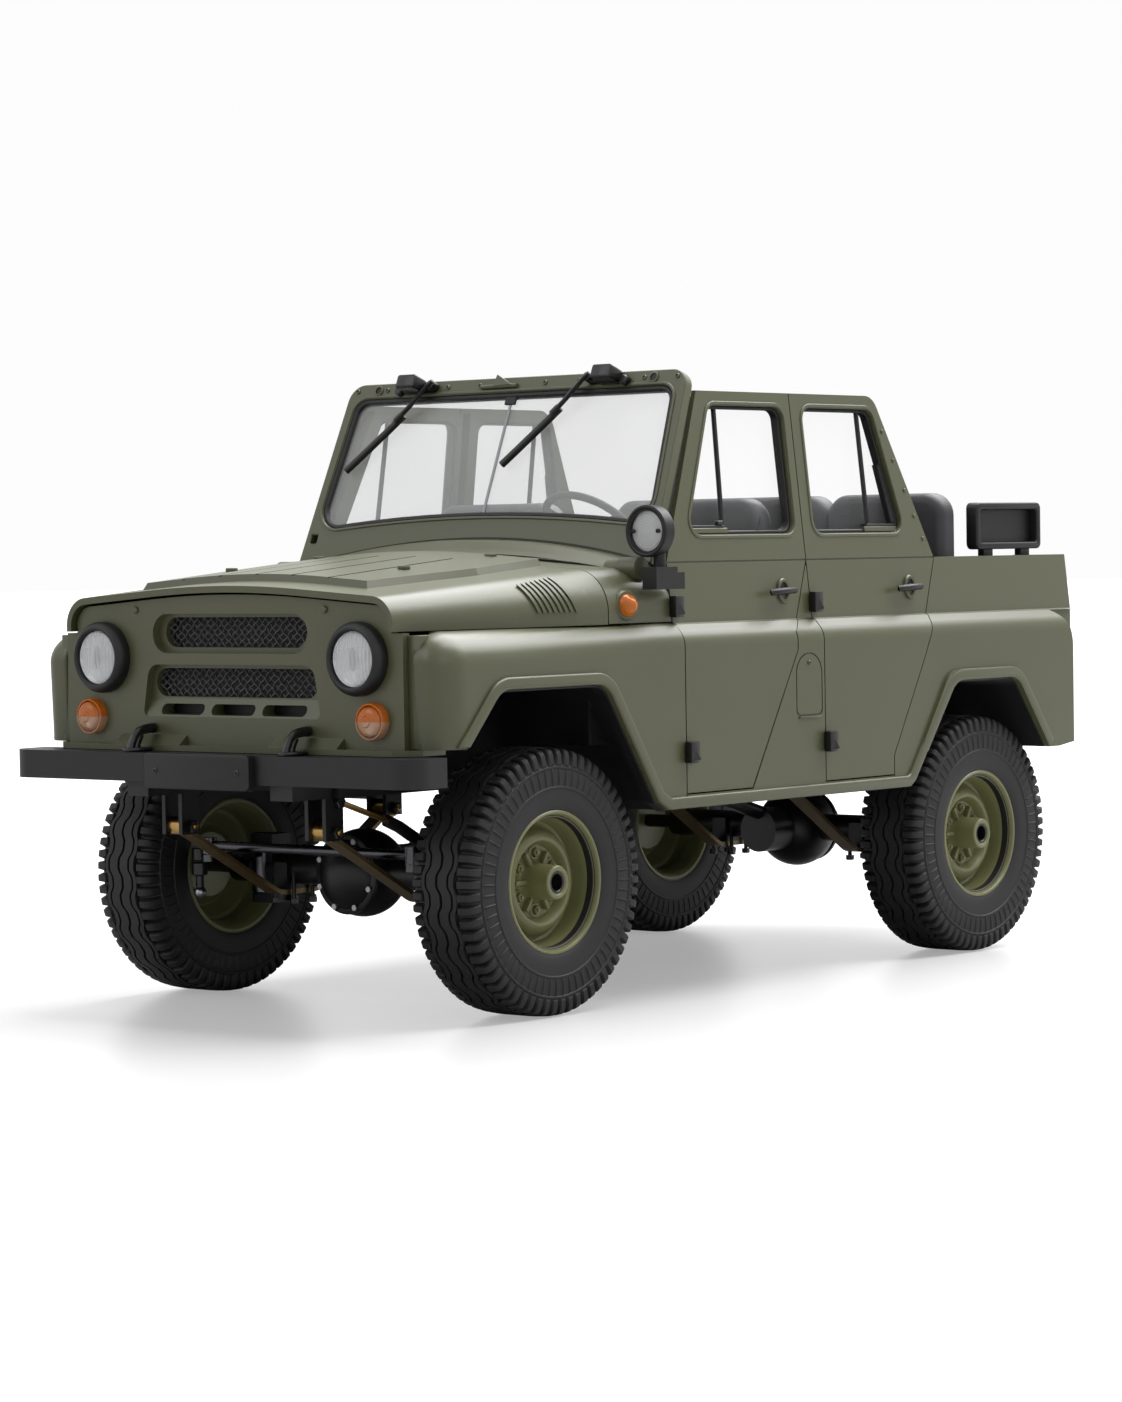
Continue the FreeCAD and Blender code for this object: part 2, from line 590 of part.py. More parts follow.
def body_sides():
    """Fixed side of the body: rocker, pillar panel, rear quarter with its bulge, rear corner."""
    thick = L.side_wall
    section = prism("side_section", "XZ",
                    [side_profile(L.side_x, thick, L.sill_z, L.belt_z)], L.a_seam_y, L.tail_y)
    edge_in = L.side_x / 2
    edge_out = L.side_x + L.overrun
    bulge_end = L.tail_y - L.bulge_setback
    bulge = prism("side_bulge", "YZ", [[
        (L.a_seam_y, L.sill_z - L.overrun),
        (bulge_end, L.sill_z - L.overrun),
        (bulge_end, L.crease_z, L.bulge_round),
        (L.a_seam_y, L.crease_z)]], edge_in, edge_out)
    upright = box("side_upright", (edge_in, edge_out), (L.a_seam_y, L.tail_y),
                  (L.crease_z - L.seam, L.belt_z + L.overrun))
    front_hole = prism("side_front_hole", "YZ", [front_door_outline(L.seam)], edge_in, edge_out)
    rear_hole = prism("side_rear_hole", "YZ", [rear_door_outline(L.seam)], edge_in, edge_out)
    over_doors = box("side_over_doors", (edge_in, edge_out),
                     (L.a_seam_y - L.seam, L.b_seam_y), (L.belt_z - L.overrun, L.frame_top_z))
    arch = prism("side_arch", "YZ", [rear_arch(0)], edge_in, edge_out)
    inner_x = L.side_x - thick
    tail_x = L.crease_x - thick
    tail_front = L.rear_arch_rear_y + L.well_wall + L.seam
    tail_wall = box("side_tail_wall", (tail_x, L.crease_x), (tail_front, L.tail_y),
                    (L.tail_low_z, L.crease_z))
    tail_fill = box("side_tail_fill", (tail_x, L.side_x - L.skin),
                    (tail_front, bulge_end - L.bulge_round),
                    (L.tail_low_z, L.shoulder_z - thick))
    tail_corner = prism("side_tail_corner", "XZ", [[
        (L.tailgate_half_width + L.seam, L.tail_low_z),
        (L.crease_x - L.seam, L.tail_low_z),
        (L.crease_x - L.seam, L.crease_z),
        (upright_x(L.belt_z) - L.seam, L.belt_z),
        (L.tailgate_half_width + L.seam, L.belt_z)]], L.tail_y - L.corner_thick, L.tail_y)
    panel = cut("side_panel", shared("side_shape", section, fused("side_limits", bulge, upright)),
                front_hole, rear_hole, over_doors, arch, flap_groove())
    rocker = box("side_rocker", (inner_x - L.rocker_width - L.seam, inner_x - L.seam),
                 (L.a_seam_y - L.side_wall, L.rear_arch_front_y),
                 (L.sill_z, L.rail_top_z))
    foot = box("side_rocker_foot", (inner_x - L.rocker_width - L.seam, L.side_x - L.skin),
               (L.a_seam_y + L.seam, L.rear_low_y - L.seam),
               (L.sill_z, L.door_low_z - L.seam))
    post = box("side_post", (inner_x - L.rocker_width - L.seam, inner_x - L.seam * 2),
               (L.a_seam_y - L.side_wall, L.a_seam_y - L.seam), (L.sill_z, L.shoulder_z))
    head = box("side_post_head",
               (L.frame_top_x - L.side_wall, L.bonnet_rear_x - L.cowl_wall - L.seam),
               (L.a_seam_y - L.side_wall, L.cowl_rear_y),
               (L.shoulder_z - L.side_wall, L.bonnet_rear_edge_z - L.bonnet_rear_corner))
    flange = arch_flange("rear_arch_flange", rear_arch, L.tail_low_z,
                         (L.rear_arch_front_y, bulge_end - L.bulge_round))
    left = kept("body_side_left", fused("body_side_left", panel, tail_wall, tail_fill,
                                        tail_corner, rocker, foot, post, head, flange))
    kept("body_side_right", mirrored("body_side_right", left))


def flap_groove():
    """The thin groove round the filler flap, with its round top."""
    def outline(inset):
        radius = (L.flap_rear_y - L.flap_front_y) / 2 - inset - L.seam / 2
        return [
            (L.flap_front_y + inset, L.flap_low_z + inset, L.overrun),
            (L.flap_rear_y - inset, L.flap_low_z + inset, L.overrun),
            (L.flap_rear_y - inset, L.flap_top_z - inset, radius),
            (L.flap_front_y + inset, L.flap_top_z - inset, radius),
        ]
    return prism("flap_groove", "YZ", [outline(0), outline(L.seam)],
                 L.side_x - L.seam, L.side_x + L.overrun)


def arch_flange(name, arch, low_z, ends):
    """The raised lip round a wheel arch, proud of the side."""
    inner_x = L.side_x - L.side_wall
    outer_x = L.side_x + L.flange_proud
    ring = cut(name + "_ring",
               prism(name + "_outside", "YZ", [arch(L.flange_width)], inner_x,
                     outer_x + L.overrun),
               prism(name + "_inside", "YZ", [arch(0)], inner_x - L.overrun,
                     outer_x + L.overrun * 2))
    band = box(name + "_band", (inner_x, outer_x), ends, (low_z, L.shoulder_z))
    return shared(name, ring, band)


def floor_and_wells():
    """Floor plate with a box over each rear wheel, and a plate inside each front wheel."""
    low, top = L.rail_top_z, L.rail_top_z + L.floor_thick
    inner_x = L.side_x - L.side_wall
    outer_well = prism("well_outside", "YZ", [rear_arch(L.well_wall)[:4] + [
        (L.rear_arch_rear_y + L.well_wall, L.sill_z - L.overrun)]], L.well_inner_x - L.well_wall, inner_x)
    room = prism("well_room", "YZ", [rear_arch(0)[:4] + [
        (L.rear_arch_rear_y, L.sill_z - L.overrun * 2)]], L.well_inner_x, L.side_x + L.overrun)
    under = box("well_under", (0, L.side_x), (0, L.tail_y), (L.sill_z - L.overrun * 4, low))
    well = cut("wheel_well", outer_well, room, under)
    kept("rear_wheel_wells", pair("rear_wheel_wells", well))
    plate_x = inner_x - L.rocker_width - L.seam
    wide_x = L.crease_x - L.side_wall - L.seam
    floor_rear = L.tail_y - L.corner_thick - L.seam
    plate = box("floor_plate", (-plate_x, plate_x), (L.a_seam_y - L.side_wall, floor_rear),
                (low, top))
    wide = box("floor_wide", (-wide_x, wide_x), (L.rear_belt_y, floor_rear), (low, top))
    floor = fused("floor_blank", plate, wide)
    kept("floor_pan", cut("floor_pan", floor, outer_well, mirrored("well_outside_right", outer_well)))
    shield = box("front_well_plate", (L.front_well_x, L.front_well_x + L.well_wall),
                 (L.panel_y + L.panel_thick + L.grille_depth + L.mesh_thick + L.seam, L.cowl_y),
                 (L.rail_low_z, L.shoulder_z))
    kept("front_wheel_wells", pair("front_wheel_wells", shield))


def crown_outline(half_width, side_z, edge_z, crown_z, corner):
    """Half-round shell section in x and z, flat below."""
    return mirrored_middle(
        [(half_width, side_z), (half_width, edge_z, corner)],
        (0, crown_z, L.bonnet_crown_radius))


def cowl_outline(grow, low):
    """Section of the cowl: narrow between the fenders, as wide as the bonnet above them."""
    narrow = L.frame_top_x + grow
    wide = L.bonnet_rear_x + grow
    step = L.crease_z + L.seam - grow
    return mirrored_middle([
        (narrow, low),
        (narrow, step),
        (wide, step),
        (wide, L.bonnet_rear_edge_z + grow, L.bonnet_rear_corner + grow),
    ], (0, L.bonnet_rear_z + grow, L.bonnet_crown_radius))


def scuttle():
    """Cowl top and firewall between the bonnet and the windscreen, with the screen's bosses."""
    front, rear = L.cowl_y, L.cowl_rear_y
    outside = prism("cowl_outside", "XZ", [cowl_outline(0, L.rail_top_z)], front, rear)
    wall = L.cowl_wall
    inside = prism("cowl_inside", "XZ", [mirrored_middle([
        (L.bonnet_rear_x - wall, L.sill_z),
        (L.bonnet_rear_x - wall, L.bonnet_rear_edge_z - wall, L.bonnet_rear_corner - wall),
    ], (0, L.bonnet_rear_z - wall, L.bonnet_crown_radius))], front + wall, rear + L.overrun)

    def toe(name, shift):
        low = L.rail_top_z - L.overrun
        return prism(name, "YZ", [[
            (front - L.overrun, low), (front + L.toe_run + shift, low),
            (front - L.overrun, L.rail_top_z + L.toe_rise + shift)]], -L.side_x, L.side_x)

    room = cut("cowl_room", inside, toe("toe_inside", L.cowl_wall * 2))
    bosses = []
    for tag, radius, start, length in (
            ("small", L.boss_small_radius, L.boss_in_x, L.boss_small_length),
            ("large", L.boss_large_radius, L.boss_in_x + L.boss_small_length, L.boss_large_length)):
        drum = rod("boss_" + tag, "X", (start, L.boss_y, L.boss_z), radius, length)
        bosses += [drum, mirrored("boss_%s_right" % tag, drum)]
    shell = cut("cowl_shell", outside, toe("toe_outside", 0))
    kept("cowl", cut("cowl", fused("cowl_solid", shell, *bosses), room))
    profile = [
        (L.cowl_rear_y, L.dash_low_z),
        (L.dash_rear_y, L.dash_low_z, L.overrun),
        (L.dash_rear_y, L.bonnet_rear_edge_z - L.side_wall, L.overrun),
        (L.cowl_rear_y, L.bonnet_rear_edge_z),
    ]
    dash = prism("dash_block", "YZ", [profile], -L.dash_half_width, L.dash_half_width)
    kept("dashboard", dash)


def fenders():
    """Front fender: bulged side, rounded nose, raised arch lip and the recessed nose filler."""
    front, rear = L.fender_front_y, L.a_seam_y - L.seam

    def solid(name, inset, low, half):
        section = [
            (half - L.overrun, low),
            (L.side_x - inset, low),
            (L.side_x - inset, L.shoulder_z, L.shoulder_radius),
            (L.shoulder_edge_x - inset, L.crease_z - inset),
            (half - L.overrun, L.crease_z - inset),
        ]
        plan = [
            (half, front + inset),
            (L.side_x - inset, front + inset, L.fender_corner - inset),
            (L.side_x - inset, rear + inset),
            (half, rear + inset),
        ]
        side = [
            (front + inset, low),
            (rear + inset, low),
            (rear + inset, L.crease_z),
            (front + inset, L.crease_z, L.nose_round),
        ]
        return shared(name, prism(name + "_section", "XZ", [section], front, rear + inset),
                      prism(name + "_plan", "XY", [plan], L.sill_z - L.overrun, L.belt_z),
                      prism(name + "_side", "YZ", [side], half, L.side_x + L.overrun))
    outside = solid("fender_outside", 0, L.sill_z, L.panel_half_width)
    inside = solid("fender_inside", L.fender_wall, L.sill_z - L.overrun,
                   L.panel_half_width - L.overrun)
    filler = box("fender_filler", (L.panel_half_width, L.panel_half_width + L.filler_width),
                 (front + L.seam * 2, front + L.fender_wall + L.nose_round),
                 (L.crease_z - L.fender_wall - L.nose_round, L.crease_z))
    arch = prism("fender_arch", "YZ", [front_arch(0)], L.front_well_x, L.side_x + L.overrun)
    flange = arch_flange("front_arch_flange", front_arch, L.sill_z,
                         (L.front_arch_front_y - L.flange_width, rear))
    shell = cut("fender_shell", fused("fender_solid", cut("fender_hollow", outside, inside),
                                      filler, flange), arch)
    left = kept("front_fender_left", cut(
        "front_fender_left", shell, PARTS["body_side_left"], PARTS["cowl"]))
    kept("front_fender_right", mirrored("front_fender_right", left))


def rounded_slot(middle, half, low, top):
    """A slot with round ends, in x and z."""
    radius = (top - low) / 2 - L.seam / 10
    return [(middle - half, low, radius), (middle + half, low, radius),
            (middle + half, top, radius), (middle - half, top, radius)]


def front_panel():
    """Radiator panel: a round-ended recess and a scoop with their slots, on a ledge with wedges."""
    face, back = L.panel_y, L.panel_y + L.panel_thick
    deep = back + L.grille_depth
    drop = L.bonnet_wall + L.seam
    edge_x = L.bonnet_front_x - drop
    outline = mirrored_middle([
        (L.panel_half_width, L.ledge_low_z),
        (L.panel_half_width, L.bonnet_side_z - L.seam),
        (edge_x, L.bonnet_side_z - L.seam),
        (edge_x, L.bonnet_front_edge_z - drop, L.bonnet_front_corner - drop),
    ], (0, L.bonnet_front_z - drop, L.bonnet_crown_radius))
    holes = [(side * L.headlamp_x, L.headlamp_z, L.headlamp_radius - L.lamp_ring)
             for side in (-1, 1)]
    plate = prism("panel_plate", "XZ", [outline], face, back, holes)
    margin = L.recess_margin
    block = box("panel_block", (-L.scoop_low_half - margin, L.scoop_low_half + margin),
                (back - L.seam, deep), (L.scoop_low_z, L.recess_top_z + margin))
    recess_depth = face + L.panel_thick
    recess = prism("upper_recess", "XZ", [rounded_slot(
        0, L.recess_half_width, L.recess_low_z, L.recess_top_z)], face - L.overrun, recess_depth)
    scoop_plan = prism("scoop_plan", "XZ", [both_sides([
        (L.scoop_low_half, L.scoop_low_z, L.overrun),
        (L.scoop_top_half, L.scoop_top_z, L.arch_corner / 2)])], face - L.overrun, deep)
    scoop_side = prism("scoop_side", "YZ", [[
        (face - L.overrun * 2, L.scoop_low_z - L.overrun),
        (face, L.scoop_low_z - L.seam),
        (recess_depth, L.lower_grille_low_z - L.seam),
        (recess_depth, L.scoop_top_z + L.overrun),
        (face - L.overrun * 2, L.scoop_top_z + L.overrun)]], -L.side_x, L.side_x)
    scoop = shared("scoop", scoop_plan, scoop_side)
    openings = [
        rounded_slot(0, L.grille_half_width, L.grille_low_z, L.grille_top_z),
        rounded_slot(0, L.lower_grille_half_width, L.lower_grille_low_z, L.lower_grille_top_z),
    ]
    for column in (-1, 0, 1):
        openings.append(rounded_slot(L.slot_pitch * column, L.slot_half_width, L.slot_low_z,
                                     L.slot_top_z))
    slots = prism("panel_slots", "XZ", openings, face - L.overrun, deep + L.overrun)
    ledge_rear = face + L.ledge_length
    ledge = prism("panel_ledge", "XY", [both_sides([
        (L.panel_half_width, back),
        (L.panel_half_width, ledge_rear),
        (L.ledge_half_width, ledge_rear),
        (L.ledge_half_width, face + L.overrun),
        (L.ledge_half_width - L.ledge_corner, face - L.ledge_reach)])],
        L.ledge_low_z, L.ledge_low_z + L.skin)
    ledge_top = L.ledge_low_z + L.skin
    wedges = []
    for side in (-1, 1):
        middle = L.hook_x * side
        wedges.append(prism("panel_wedge_%d" % (side + 1), "YZ", [[
            (face + L.seam, ledge_top - L.seam), (face - L.ledge_reach + L.seam, ledge_top - L.seam),
            (face - L.ledge_reach + L.seam, ledge_top),
            (face, ledge_top + L.wedge_height), (face + L.seam, ledge_top + L.wedge_height)]],
            middle - L.wedge_half_width, middle + L.wedge_half_width))
    kept("front_panel", fused("front_panel", cut(
        "panel_pressing", fused("panel_solid", plate, block), recess, scoop, slots),
        ledge, *wedges))
    lap = L.mesh_lap
    meshes = []
    for name, half, low, top in (
            ("upper_mesh", L.grille_half_width, L.grille_low_z, L.grille_top_z),
            ("lower_mesh", L.lower_grille_half_width, L.lower_grille_low_z, L.lower_grille_top_z)):
        meshes.append(box(name, (-half - lap, half + lap), (deep, deep + L.mesh_thick),
                          (low - lap, top + lap)))
    kept("grille_mesh", group("grille_mesh", *meshes))


def ruled_loft(name, sections):
    """A solid with straight sides between two sketches."""
    loft = doc.addObject("Part::Loft", name)
    loft.Sections = sections
    loft.Solid = True
    loft.Ruled = True
    return loft


def bonnet():
    """Crowned shell over the front panel, with a raised and ribbed middle and side louvres."""
    rear = L.cowl_y - L.seam
    raised_front = L.bonnet_front_y + L.raised_setback

    def shell(name, inset, start, end):
        sections = []
        for place_name, y, half, edge_z, crown_z, corner in (
                ("front", start, L.bonnet_front_x, L.bonnet_front_edge_z, L.bonnet_front_z,
                 L.bonnet_front_corner),
                ("rear", end, L.bonnet_rear_x, L.bonnet_rear_edge_z, L.bonnet_rear_z,
                 L.bonnet_rear_corner)):
            low = L.bonnet_side_z - inset
            outline = crown_outline(half - inset, low, edge_z - inset, crown_z - inset,
                                    corner - inset)
            sections.append(drawn("%s_%s" % (name, place_name), "XZ", [outline], (), y))
        return ruled_loft(name, sections)
    outside = shell("bonnet_outside", 0, L.bonnet_front_y, rear)
    inside = shell("bonnet_inside", L.bonnet_wall, L.bonnet_front_y - L.overrun, rear + L.overrun)
    raised_shell = shell("bonnet_raised_shell", -L.raised_height, L.bonnet_front_y, rear)
    raised_low = L.bonnet_side_z + L.bonnet_wall * 2
    raised_high = L.belt_z + L.arch_corner
    plans = []
    for level, z, shift in (("low", raised_low, 0), ("high", raised_high, L.raised_slope)):
        plans.append(drawn("bonnet_pressing_" + level, "XY", [both_sides([
            (L.raised_rear_half - shift, rear - L.seam),
            (L.raised_mid_half - shift, L.raised_mid_y),
            (L.raised_front_half - shift, raised_front + shift)])], (), z))
    pressing = ruled_loft("bonnet_pressing_plan", plans)
    grooves = []
    for column in range(-2, 3):
        middle = L.rib_pitch * column
        grooves.append(box("bonnet_rib_%d" % (column + 2),
                           (middle - L.rib_width / 2, middle + L.rib_width / 2),
                           (raised_front, rear - L.rib_pitch),
                           (L.bonnet_side_z, L.belt_z + L.arch_corner)))
    low_shell = shell("bonnet_rib_shell", -L.raised_height + L.rib_depth, L.bonnet_front_y, rear)
    raised = cut("bonnet_raised", shared("bonnet_pressing", raised_shell, pressing),
                 cut("bonnet_ribs", fused("bonnet_rib_bars", *grooves), low_shell))
    louvre_shell = shell("bonnet_louvre_shell", -L.louvre_height, L.bonnet_front_y, rear)
    slats = []
    for index in range(LOUVRES):
        start = L.louvre_front_y + L.louvre_pitch * index
        slat = prism("louvre_slat_%d" % index, "YZ", [[
            (start + L.louvre_lean, L.louvre_low_z),
            (start + L.louvre_lean + L.louvre_width, L.louvre_low_z),
            (start + L.louvre_width, L.louvre_top_z),
            (start, L.louvre_top_z)]], L.louvre_in_x, L.side_x)
        slats += [slat, mirrored("louvre_slat_right_%d" % index, slat)]
    louvres = shared("bonnet_louvres", louvre_shell, fused("louvre_slats", *slats))
    kept("bonnet", cut("bonnet", fused("bonnet_solid", outside, raised, louvres), inside))


def bumper():
    """Bumper closed on top, with swept ends and a blank plate, and two tow hooks on their feet."""
    def edge(inset):
        return both_sides([
            (L.bumper_half_width - inset, L.bumper_end_y),
            (L.bumper_half_width - inset, L.bumper_y + inset, L.bumper_corner - inset / 2),
        ])
    wall = L.bumper_wall
    outer = prism("bumper_outer", "XY", [edge(0)], L.bumper_low_z, L.bumper_top_z)
    inner = prism("bumper_inner", "XY", [both_sides([
        (L.bumper_half_width - wall, L.bumper_end_y + L.overrun),
        (L.bumper_half_width - wall, L.bumper_y + wall, L.bumper_corner - wall)])],
        L.bumper_low_z - L.overrun, L.bumper_top_z - L.skin)
    plate = prism("bumper_plate", "XZ", [both_sides([
        (L.plate_half_width, L.plate_low_z, L.plate_corner),
        (L.plate_half_width, L.plate_top_z, L.plate_corner)])], L.plate_y, L.bumper_y)
    kept("front_bumper", fused("front_bumper", cut("bumper_channel", outer, inner), plate))
    bar = L.hook_bar
    foot = prism("hook_foot", "XY", [[
        (L.hook_x - L.hook_foot_width / 2, L.hook_foot_y, L.overrun),
        (L.hook_x + L.hook_foot_width / 2, L.hook_foot_y, L.overrun),
        (L.hook_x + L.hook_foot_width / 2, L.hook_heel_y, L.overrun),
        (L.hook_x - L.hook_foot_width / 2, L.hook_heel_y, L.overrun)]],
        L.bumper_top_z, L.bumper_top_z + L.hook_foot_thick)
    horn = prism("hook_horn", "YZ", [[
        (L.hook_foot_y + bar, L.bumper_top_z),
        (L.hook_heel_y - bar / 2, L.bumper_top_z),
        (L.hook_heel_y - bar / 2, L.hook_top_z - bar * 2, bar),
        (L.hook_tip_y, L.hook_top_z - bar),
        (L.hook_tip_y, L.hook_top_z),
        (L.hook_heel_y - bar * 3 / 2, L.hook_top_z, bar),
    ]], L.hook_x - L.hook_width / 2, L.hook_x + L.hook_width / 2)
    kept("tow_hooks", pair("tow_hooks", fused("tow_hook", foot, horn)))


def facing_front(name, outline, at):
    """An outline of (reach, radius) corners turned about a line towards the front."""
    solid = turned(name, outline)
    place(solid, at, Rotation(Vector(0, 0, 1), -90))
    return solid


def lamps():
    """Headlamps, turn lamps, side repeaters, tail lamps and the search lamp on its bracket."""
    face = L.panel_y
    outer, bore = L.headlamp_radius, L.headlamp_radius - L.lamp_ring
    ring = facing_front("headlamp_ring", [
        (0, bore), (L.headlamp_reach, bore),
        (L.headlamp_reach, outer - L.seam, L.lamp_ring / 3), (0, outer)],
        (L.headlamp_x, face, L.headlamp_z))
    kept("headlamp_rings", pair("headlamp_rings", ring))
    lens = facing_front("headlamp_lens", [
        (0, 0), (L.headlamp_reach, 0), (L.headlamp_reach, bore / 2, L.lens_dome),
        (L.headlamp_reach - L.lens_dome, bore), (0, bore)],
        (L.headlamp_x, face, L.headlamp_z))
    radius, depth = L.search_radius, L.search_depth
    search_at = (L.search_x, L.search_front_y, L.search_z)
    cup = facing_front("search_cup", [
        (-depth, 0), (-depth, radius / 2), (-depth / 2, radius), (0, radius, L.seam),
        (0, radius - L.skin), (-L.overrun, radius - L.skin), (-L.overrun, 0)], search_at)
    glass = facing_front("search_lens", [
        (-L.overrun + L.seam / 5, 0), (-L.seam, 0), (-L.seam, radius / 3, L.skin),
        (-L.skin + L.seam, radius - L.skin - L.pin_play),
        (-L.overrun + L.seam / 5, radius - L.skin - L.pin_play)], search_at)
    kept("lamp_lenses", group("lamp_lenses", lens, mirrored("headlamp_lens_right", lens), glass))
    stem = rod("search_stem", "Z",
               (L.search_x + L.stem_radius, L.search_front_y + depth / 2, L.bracket_top_z),
               L.stem_radius, L.search_z - L.bracket_top_z - L.search_radius / 2)
    bracket = box("search_bracket", (L.bracket_in_x, L.bracket_out_x),
                  (L.bracket_front_y, L.bracket_step_y), (L.bracket_low_z, L.bracket_top_z))
    tab = box("search_bracket_tab", (L.bracket_in_x, L.bracket_out_x),
              (L.bracket_step_y - L.seam, L.a_seam_y - L.seam),
              (L.bracket_low_z, L.bracket_top_z - L.skin))
    kept("search_lamp", fused("search_lamp", cup, stem, bracket, tab))
    dome = [
        (0, 0), (L.turn_reach, 0), (L.turn_reach, L.turn_radius / 3, L.seam),
        (L.turn_reach - L.skin, L.turn_radius * 2 / 3, L.seam),
        (L.skin / 2, L.turn_radius - L.seam), (L.skin / 2, L.turn_radius), (0, L.turn_radius)]
    turn = facing_front("turn_lamp", dome, (L.turn_x, face, L.turn_z))
    tail = turned("tail_lamp", dome)
    place(tail, (L.tail_lamp_x, L.tail_y, L.tail_lamp_z), Rotation(Vector(0, 0, 1), 90))
    side = turned("side_repeater", [
        (0, 0), (L.turn_reach, 0), (L.turn_reach, L.repeater_radius / 2, L.seam),
        (L.skin / 2, L.repeater_radius - L.seam),
        (L.skin / 2, L.repeater_radius), (0, L.repeater_radius)])
    place(side, (L.bonnet_rear_x, L.repeater_y, L.repeater_z))
    pieces = []
    for name, lamp in (("turn_lamp", turn), ("tail_lamp", tail), ("side_repeater", side)):
        pieces += [lamp, mirrored(name + "_right", lamp)]
    kept("turn_lamps", group("turn_lamps", *pieces))


def slanted(name, outlines, start, depth, circles=()):
    """A plate in the windscreen's plane: x across, v up the slope, depth behind it."""
    rise, run = L.screen_rise, L.screen_run
    tilt = math.degrees(math.atan2(number(run), number(rise)))
    sketch = doc.addObject("Sketcher::SketchObject", name + "_sketch")
    place(sketch, (0, L.screen_low_y, L.screen_low_z), Rotation(Vector(1, 0, 0), 90 - tilt))
    sketch.setExpression("Placement.Rotation.Angle", "90 deg - atan(%s / %s)" % (
        text_of(run), text_of(rise)))
    for outline in outlines:
        add_outline(sketch, outline)
    for circle in circles:
        add_circle(sketch, *circle)
    solid = doc.addObject("Part::Extrusion", name)
    solid.Base = sketch
    solid.DirMode = "Normal"
    solid.Solid = True
    bind(solid, LengthFwd=-start, LengthRev=start + depth)
    return solid


def windscreen():
    """Frame with rounded upper corners standing on the cowl's crown, its glass, two wiper motors."""
    rise, run = L.screen_rise, L.screen_run
    slope = Size("sqrt(%s^2 + %s^2)" % (rise.text, run.text),
                 math.hypot(number(rise), number(run)))
    bar, low_bar = L.screen_bar, L.screen_low_bar
    corner = L.screen_corner
    frame = both_sides([(L.screen_low_x, -L.screen_foot), (L.screen_top_x, slope, corner)])
    inner_low = L.screen_low_x - bar
    inner_top = L.screen_top_x - bar
    hole = both_sides([(inner_low, low_bar, corner), (inner_top, slope - bar, corner)])
    crown = prism("screen_crown", "XZ", [cowl_outline(L.seam / 2, L.sill_z)],
                  L.cowl_y, L.cowl_rear_y + L.seam)
    room = prism("screen_dash_room", "XZ", [cowl_outline(L.seam / 2, L.sill_z)],
                 L.cowl_rear_y, L.cowl_rear_y + L.arch_corner)
    plate = slanted("screen_plate", [frame, hole], 0, L.screen_wall)
    kept("windscreen_frame", cut("windscreen_frame", plate, crown, room))
    kept("windscreen_glass", slanted("windscreen_glass", [hole], L.skin, L.screen_glass))
    pieces = []
    for side in (1, -1):
        tag = "left" if side > 0 else "right"
        x = L.wiper_x * side
        motor = slanted("wiper_motor_" + tag, [[
            (x - L.wiper_motor_width / 2, slope), (x + L.wiper_motor_width / 2, slope),
            (x + L.wiper_motor_width / 2, slope + L.wiper_motor_height, L.seam),
            (x - L.wiper_motor_width / 2, slope + L.wiper_motor_height, L.seam)]],
            0, L.wiper_motor_depth)
        pieces.append(motor)
    kept("wiper_motors", group("wiper_motors", *pieces))


